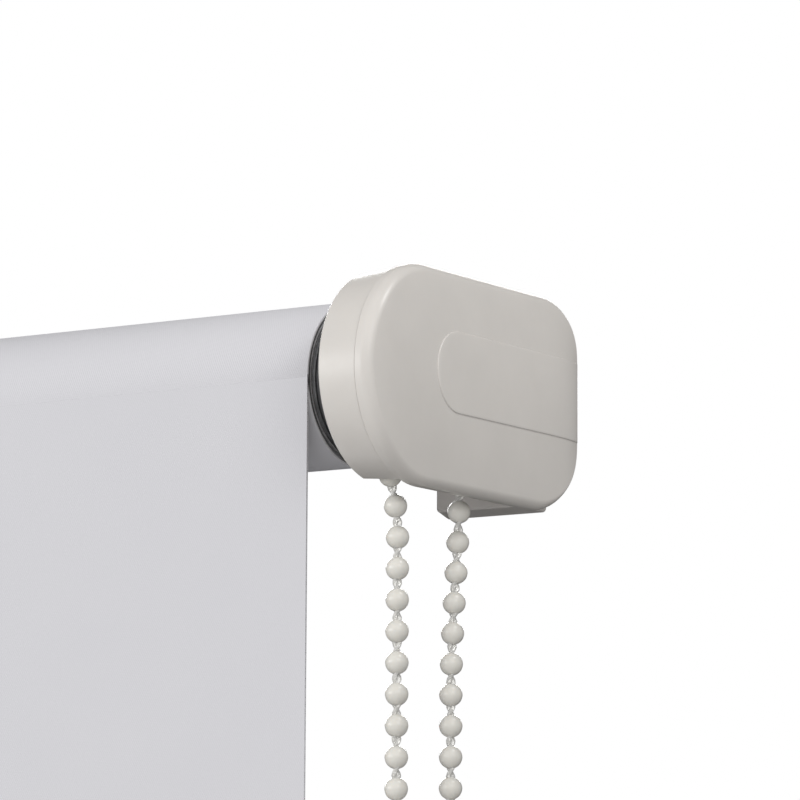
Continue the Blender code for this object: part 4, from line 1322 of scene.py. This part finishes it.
@dataclass
class BeadChain:
    """The endless bead chain: moulded beads on a twisted thread, over the wheel and the lower pulley.

    Args:
        layout: shared places.
        bead_finish: finish of the beads.
        thread_finish: finish of the thread.
        pitch: distance between beads.
        bead_diameter: diameter of a bead.
        thread_diameter: diameter of the thread.
        wheel_beads: beads round the whole wheel.
        pulley_beads: beads round the whole pulley.
        first_bead: distance of the first bead below the roller axis on the front strand.
        strand_top: height at which the strands start to close up.
        front_closed: height at which the front strand is as close as on the pulley.
        rear_closed: the same for the rear strand.
        belt: how far the moulding line stands out round a bead.
        bead_rings: facets from one end of a bead to the other.
        bead_sides: facets round a bead.
        thread_sides: facets round one strand of the thread.
        thread_step: length of a facet along the thread.
        lay: length in which the thread's strands turn once.
        strand_steps: facets down each side of the chain.
        pulley_steps: facets round the pulley.
        wheel_steps: facets round the wheel.
    """

    layout: Layout
    bead_finish: bpy.types.Material
    thread_finish: bpy.types.Material
    pitch: float = 0.006
    bead_diameter: float = 0.0045
    thread_diameter: float = 0.0015
    wheel_beads: int = 13
    pulley_beads: int = 10
    first_bead: float = 0.0203
    strand_top: float = -0.018
    front_closed: float = -0.030
    rear_closed: float = -0.060
    belt: float = 0.00003
    bead_rings: int = 16
    bead_sides: int = 22
    thread_sides: int = 6
    thread_step: float = 0.0007
    lay: float = 0.0046
    strand_steps: int = 420
    pulley_steps: int = 48
    wheel_steps: int = 60

    def __post_init__(self) -> None:
        low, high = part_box("chain_connector")
        self.connector = (Vector(low) + Vector(high)) / 2
        self.wheel_radius = self.wheel_beads * self.pitch / math.tau
        self.pulley_radius = self.pulley_beads * self.pitch / math.tau

    def strand_offset(self, z: float, closed: float) -> float:
        """How far a strand stands from the roller axis at height z.

        Args:
            z: the height.
            closed: height at which the strand is fully closed up.

        Returns:
            The distance.
        """
        share = max(0.0, min(1.0, (self.strand_top - z) / (self.strand_top - closed)))
        eased = share * share * (3 - 2 * share)
        return self.wheel_radius + (self.pulley_radius - self.wheel_radius) * eased

    def route(self) -> list[Vector]:
        """The closed centre line: from the wheel down the front, round the pulley and back up.

        Returns:
            Its points.
        """
        points = []
        steps = self.strand_steps
        depth = -self.layout.pulley_z
        for index in range(steps):
            z = -depth * index / steps
            points.append((-self.strand_offset(z, self.front_closed), z))
        points += arc((0.0, -depth), self.pulley_radius, 180, 360, self.pulley_steps)
        for index in range(1, steps):
            z = -depth + depth * index / steps
            points.append((self.strand_offset(z, self.rear_closed), z))
        points += arc((0.0, 0.0), self.wheel_radius, 0, 180, self.wheel_steps)[:-1]
        return [Vector((self.layout.chain_x, self.layout.axis_y + y, z)) for y, z in points]

    def build(self) -> None:
        """Make the chain as one mesh with two finishes."""
        route = self.route()
        lengths = [0.0]
        for first, second in zip(route, route[1:] + route[:1]):
            lengths.append(lengths[-1] + (second - first).length)
        total = lengths[-1]
        work = bmesh.new()
        join = min(range(len(route)), key=lambda index: (route[index] - self.connector).length)
        before = int((lengths[join] - self.first_bead) / self.pitch)
        after = int((total + self.first_bead - lengths[join]) / self.pitch)
        distances = [self.first_bead + self.pitch * number for number in range(before + 1)]
        distances += [total + self.first_bead - self.pitch * number for number in range(1, after + 1)]
        if distances[-1] - distances[before] < self.bead_diameter:
            distances.pop()
        for distance in distances:
            place, along = self.sample(route, lengths, distance % total)
            self.add_bead(work, place, along)
        bead_faces = len(work.faces)
        self.add_thread(work, route, lengths)
        mesh = finished_mesh(work, "bead_chain", outwards=False)
        mesh.materials.append(self.bead_finish)
        mesh.materials.append(self.thread_finish)
        for face in mesh.polygons[bead_faces:]:
            face.material_index = 1
        add_piece("pull_chain", mesh, FIXED_BODY, self.bead_finish, ["bead_chain"], sharp=60)
        log.info("chain loop %.3f m, %d beads", total, len(distances))

    @staticmethod
    def sample(route: list[Vector], lengths: list[float], distance: float) -> tuple[Vector, Vector]:
        """Place and direction on the route at a distance from its start.

        Args:
            route: the closed centre line.
            lengths: distance along it at each of its points.
            distance: the distance looked up.

        Returns:
            The place and the direction.
        """
        low, high = 0, len(route)
        while high - low > 1:
            middle = (low + high) // 2
            if lengths[middle] <= distance:
                low = middle
            else:
                high = middle
        first = route[low]
        second = route[(low + 1) % len(route)]
        span = max(lengths[low + 1] - lengths[low], 1e-9)
        return first.lerp(second, (distance - lengths[low]) / span), (second - first).normalized()

    def add_bead(self, work: bmesh.types.BMesh, place: Vector, along: Vector) -> None:
        """One bead: a ball with a faint belt round its middle, cut flat where the thread enters.

        Args:
            work: the mesh under construction.
            place: centre of the bead.
            along: direction of the chain there.
        """
        radius = self.bead_diameter / 2
        turn = along.to_track_quat("Z", "X").to_matrix().to_4x4()
        profile = []
        rings = self.bead_rings
        opening = math.asin(self.thread_diameter * 0.5 / radius)
        for index in range(rings + 1):
            angle = opening + (math.pi - 2 * opening) * index / rings
            belt = self.belt if index == rings // 2 else 0.0
            profile.append((radius * math.sin(angle) + belt, radius * math.cos(angle)))
        sides = self.bead_sides
        loops = []
        for width, height in profile:
            ring = []
            for side in range(sides):
                angle = math.tau * side / sides
                point = Vector((width * math.cos(angle), width * math.sin(angle), height))
                ring.append(work.verts.new(Matrix.Translation(place) @ turn @ point))
            loops.append(ring)
        for first, second in zip(loops, loops[1:]):
            for side in range(sides):
                following = (side + 1) % sides
                work.faces.new((first[side], second[side], second[following], first[following]))
        work.faces.new(loops[0])
        work.faces.new(loops[-1][::-1])

    def add_thread(self, work: bmesh.types.BMesh, route: list[Vector], lengths: list[float]) -> None:
        """The twisted thread: two strands laid round each other along the route.

        Args:
            work: the mesh under construction.
            route: the chain's centre line.
            lengths: distance along it at each of its points, and the whole length last.
        """
        total = lengths[-1]
        strand_radius = self.thread_diameter * 0.31
        steps = int(total / self.thread_step)
        sides = self.thread_sides
        for strand in range(2):
            rings = []
            for index in range(steps):
                distance = total * index / steps
                place, along = self.sample(route, lengths, distance)
                across = Vector((1, 0, 0))
                outward = along.cross(across).normalized()
                turn = math.tau * distance / self.lay + math.pi * strand
                centre = place + (across * math.cos(turn) + outward * math.sin(turn)) * strand_radius
                ring = []
                for side in range(sides):
                    angle = math.tau * side / sides
                    offset = across * math.cos(angle) + outward * math.sin(angle)
                    ring.append(work.verts.new(centre + offset * strand_radius * 1.15))
                rings.append(ring)
            for first, second in zip(rings, rings[1:] + rings[:1]):
                for side in range(sides):
                    following = (side + 1) % sides
                    work.faces.new((first[side], first[following], second[following], second[side]))


# ---------------------------------------------------------------- kept CAD nodes


@dataclass
class KeptNodes:
    """CAD nodes whose shape is right; they only get a finish.

    Args:
        frame: the loaded frame.
        finishes: material for each node name.
    """

    frame: dict
    finishes: dict[str, bpy.types.Material]

    def dress(self) -> None:
        """Assign the finishes."""
        for name, finish in self.finishes.items():
            node = self.frame["nodes"][name]
            for slot in node.material_slots:
                slot.material = finish
            log.info("%s: finish %s", name, finish.name)


# ---------------------------------------------------------------- studio


@dataclass
class Studio:
    """Camera, pale floor and soft light.

    Args:
        layout: shared places.
        azimuth: degrees the camera stands to the right of straight ahead.
        elevation: degrees it looks up.
        roll: degrees it is turned about its own axis.
        distance: camera to the control end.
        focal: focal length in sensor widths.
        right_of_centre: how far to the right of the aim the control end is seen.
        above_centre: how far above it.
        sensor: width of the sensor in millimetres.
        floor_size: half the floor's side.
        floor_drop: how far the floor lies below the blind.
        glows: the backdrop's soft glows, each as the direction it comes from and its strength.
    """

    layout: Layout
    azimuth: float = 33.2
    elevation: float = 8.5
    roll: float = 0.3
    distance: float = 0.962
    focal: float = 6.25
    right_of_centre: float = 0.0115
    above_centre: float = 0.00485
    sensor: float = 36.0
    floor_size: float = 6.0
    floor_drop: float = 0.25
    glows: tuple[tuple[Point, float], ...] = (
        ((0.0, -1.0, 0.0), 0.900),
        ((1.0, 0.0, 0.0), 0.476),
        ((0.0, 0.0, 1.0), 0.186),
        ((-1.0, 0.0, 0.0), 0.050),
    )

    def build(self) -> None:
        """Make camera, floor, world and lights."""
        self.build_camera()
        self.build_floor()
        self.build_world()
        self.build_lights()

    def build_camera(self) -> None:
        """A long lens below the roller's height, aimed at the control end."""
        side = math.radians(self.azimuth)
        lift = math.radians(self.elevation)
        level = math.cos(lift)
        forward = Vector((-math.sin(side) * level, math.cos(side) * level, math.sin(lift)))
        right = Vector((math.cos(side), math.sin(side), 0.0))
        up = right.cross(forward)
        cap_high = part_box("control_cap")[1]
        focus = Vector((cap_high[0], self.layout.axis_y, 0.0))
        place = focus - forward * self.distance
        place -= right * self.right_of_centre + up * self.above_centre
        turn = Matrix((right, up, -forward)).transposed()
        data = bpy.data.cameras.new("camera")
        data.sensor_width = self.sensor
        data.lens = self.sensor * self.focal
        data.clip_start = 0.01
        data.clip_end = 30.0
        camera = bpy.data.objects.new("camera", data)
        roll = Matrix.Rotation(math.radians(self.roll), 3, "Z")
        camera.matrix_world = Matrix.Translation(place) @ (turn @ roll).to_4x4()
        bpy.context.scene.collection.objects.link(camera)
        bpy.context.scene.camera = camera

    def build_floor(self) -> None:
        """A plain pale floor well below the hem."""
        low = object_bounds()[0]
        size = self.floor_size
        mesh = bpy.data.meshes.new("floor")
        z = low[2] - self.floor_drop
        corners = [(-size, -size, z), (size, -size, z), (size, size, z), (-size, size, z)]
        mesh.from_pydata(corners, [], [(0, 1, 2, 3)])
        work = Shader("pale_floor")
        tint = work.ramp(work.noise(3.0), [(0.3, (0.86, 0.86, 0.86)), (0.7, (0.88, 0.88, 0.88))])
        work.join(tint, work.surface.inputs["Base Color"])
        work.surface.inputs["Roughness"].default_value = 0.8
        work.surface.inputs["Emission Color"].default_value = (1.0, 1.0, 1.0, 1.0)
        work.surface.inputs["Emission Strength"].default_value = 0.45
        mesh.materials.append(work.made)
        floor = bpy.data.objects.new("floor", mesh)
        bpy.context.scene.collection.objects.link(floor)
        floor.visible_diffuse = False
        floor.visible_glossy = False
        floor.visible_transmission = False
        floor.visible_shadow = False
        floor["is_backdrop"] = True

    def build_world(self) -> None:
        """Soft glows from four sides against a white backdrop."""
        world = bpy.data.worlds.new("white_studio")
        world.use_nodes = True
        tree = world.node_tree
        background = tree.nodes["Background"]
        background.inputs["Color"].default_value = (1.0, 1.0, 1.0, 1.0)
        place = tree.nodes.new("ShaderNodeTexCoord")
        total = tree.nodes.new("ShaderNodeValue").outputs[0]
        total.default_value = 0.0
        for direction, strength in self.glows:
            towards = tree.nodes.new("ShaderNodeVectorMath")
            towards.operation = "DOT_PRODUCT"
            towards.inputs[1].default_value = Vector(direction).normalized()
            tree.links.new(place.outputs["Generated"], towards.inputs[0])
            facing = tree.nodes.new("ShaderNodeMath")
            facing.operation = "MAXIMUM"
            facing.inputs[1].default_value = 0.0
            tree.links.new(towards.outputs["Value"], facing.inputs[0])
            scaled = tree.nodes.new("ShaderNodeMath")
            scaled.operation = "MULTIPLY_ADD"
            scaled.inputs[1].default_value = strength
            tree.links.new(facing.outputs[0], scaled.inputs[0])
            tree.links.new(total, scaled.inputs[2])
            total = scaled.outputs[0]
        path = tree.nodes.new("ShaderNodeLightPath")
        choose = tree.nodes.new("ShaderNodeMix")
        choose.inputs["B"].default_value = 1.0
        tree.links.new(path.outputs["Is Camera Ray"], choose.inputs["Factor"])
        tree.links.new(total, choose.inputs["A"])
        tree.links.new(choose.outputs["Result"], background.inputs["Strength"])
        bpy.context.scene.world = world
        bpy.context.scene.view_settings.view_transform = "Standard"

    def build_lights(self) -> None:
        """A wide softbox at the front left, whose reflection runs along the cover, and three others."""
        self.add_area("softbox", (-0.85, -1.30, 0.22), (1.2, 0.42), 7.26)
        self.add_area("fill", (0.9, -0.7, 0.5), (0.5, 0.5), 1.78)
        self.add_area("near", (0.12, -0.05, 0.14), (0.05, 0.05), 0.092)
        self.add_area("rear", (-1.0, 1.2, 0.5), (1.2, 0.6), 18.0)

    def add_area(self, name: str, place: Point, size: tuple[float, float], power: float) -> None:
        """One rectangular soft light aimed at the control end.

        Args:
            name: name of the light.
            place: its centre.
            size: its width and height.
            power: its power in watts.
        """
        data = bpy.data.lights.new(name, "AREA")
        data.shape = "RECTANGLE"
        data.size, data.size_y = size
        data.energy = power
        lamp = bpy.data.objects.new(name, data)
        lamp.visible_camera = False
        aim = Vector((0.0, self.layout.axis_y, 0.0)) - Vector(place)
        turn = aim.to_track_quat("-Z", "Y").to_matrix().to_4x4()
        lamp.matrix_world = Matrix.Translation(place) @ turn
        bpy.context.scene.collection.objects.link(lamp)


# ---------------------------------------------------------------- assembly


def make_finishes(layout: Layout) -> dict[str, bpy.types.Material]:
    """Build every finish of the blind.

    Args:
        layout: shared places.

    Returns:
        Materials by their short name.
    """
    cover = (0.650, 0.620, 0.585)
    cloth = (0.625, 0.620, 0.645)
    centre = (layout.axis_y, 0.0)
    makers: dict[str, object] = {
        "cover": MouldedPlastic("cover_plastic", cover, 0.36, 0.000008, 0.08, 0.05),
        "badge": MouldedPlastic("badge_plastic", shade(cover, 1.02), 0.30, 0.000005, 0.15, 0.05),
        # painted shade: the bracket is the cover's own plastic at 0.88 of its colour, darkened for the
        # shade it sits in behind the cover; the tensioner fork takes the same darkened copy
        "bracket": MouldedPlastic("bracket_plastic", shade(cover, 0.88), 0.48, 0.00002),
        "bead": MouldedPlastic("bead_plastic", (0.70, 0.68, 0.63), 0.30, 0.000004, 0.2, 0.15),
        "thread": ClearPlastic("chain_thread", (0.83, 0.82, 0.79), 0.28),
        "connector": ClearPlastic("clear_connector", (0.86, 0.86, 0.85), 0.15),
        "hub": MouldedPlastic("black_nylon", (0.035, 0.035, 0.037), 0.50, 0.00002),
        "wheel": MouldedPlastic("acetal_wheel", (0.62, 0.60, 0.56), 0.40, 0.00001),
        "plug": MouldedPlastic("grey_nylon", (0.10, 0.10, 0.105), 0.55, 0.00002),
        "spline": MouldedPlastic("spline_plastic", (0.72, 0.72, 0.70), 0.5, 0.00002),
        "spring": DrawnMetal("spring_wire", (0.52, 0.52, 0.53), 0.28, (600.0, 80.0, 80.0)),
        "screw": DrawnMetal("zinc_steel", (0.68, 0.68, 0.70), 0.32, (200.0, 200.0, 200.0)),
        "tube": DrawnMetal("mill_aluminium", (0.77, 0.78, 0.79), 0.34),
        "hem": DrawnMetal("hem_aluminium", (0.80, 0.80, 0.81), 0.34),
        "sheet": TwillFabric("twill_sheet", cloth),
        "roll": TwillFabric("twill_roll", cloth, around=centre, radius=layout.sheet_radius),
        # painted shade: dark grey finish for the roll's ends and the sheet's thread ends
        "edge": ShadedRollEdge("cut_edges", centre, 0.0004),
    }
    return {name: maker.build() for name, maker in makers.items()}


def kept_finishes(finishes: dict[str, bpy.types.Material]) -> dict[str, bpy.types.Material]:
    """The finish of each CAD node that keeps its own shape.

    Args:
        finishes: materials by their short name.

    Returns:
        Materials by node name.
    """
    groups: dict[str, list[str]] = {
        "bracket": ["control_bracket", "idle_bracket", "tensioner_fork"],
        "cover": ["hem_cap_left", "hem_cap_right"],
        "hub": ["clutch_hub", "chain_guide"],
        "wheel": ["chain_wheel", "idle_bush", "tensioner_pulley"],
        "plug": ["tube_adaptor", "idle_plug"],
        "spring": ["brake_spring_outer", "brake_spring_inner", "idle_spring"],
        "screw": ["hub_screw", "hub_washer", "idle_pin", "tensioner_pin"],
        "tube": ["roller_tube"],
        "spline": ["fabric_spline"],
        "hem": ["hem_bar"],
        "connector": ["chain_connector"],
    }
    for place in ("control", "idle", "tensioner"):
        groups["screw"] += [f"{place}_wall_screw_upper", f"{place}_wall_screw_lower"]
    return {node: finishes[name] for name, nodes in groups.items() for node in nodes}


def main() -> None:
    """Dress the whole blind."""
    logging.basicConfig(level=logging.INFO, format="%(name)s %(message)s")
    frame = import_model()
    layout = Layout.read(frame)
    finishes = make_finishes(layout)
    Studio(layout).build()
    BeadChain(layout, finishes["bead"], finishes["thread"]).build()
    for side in Side:
        EndCover(side, layout, finishes["cover"], finishes["badge"]).build()
    RollerFabric(layout, finishes["sheet"], finishes["roll"], finishes["edge"]).build()
    KeptNodes(frame, kept_finishes(finishes)).dress()


if __name__ == "__main__":
    main()
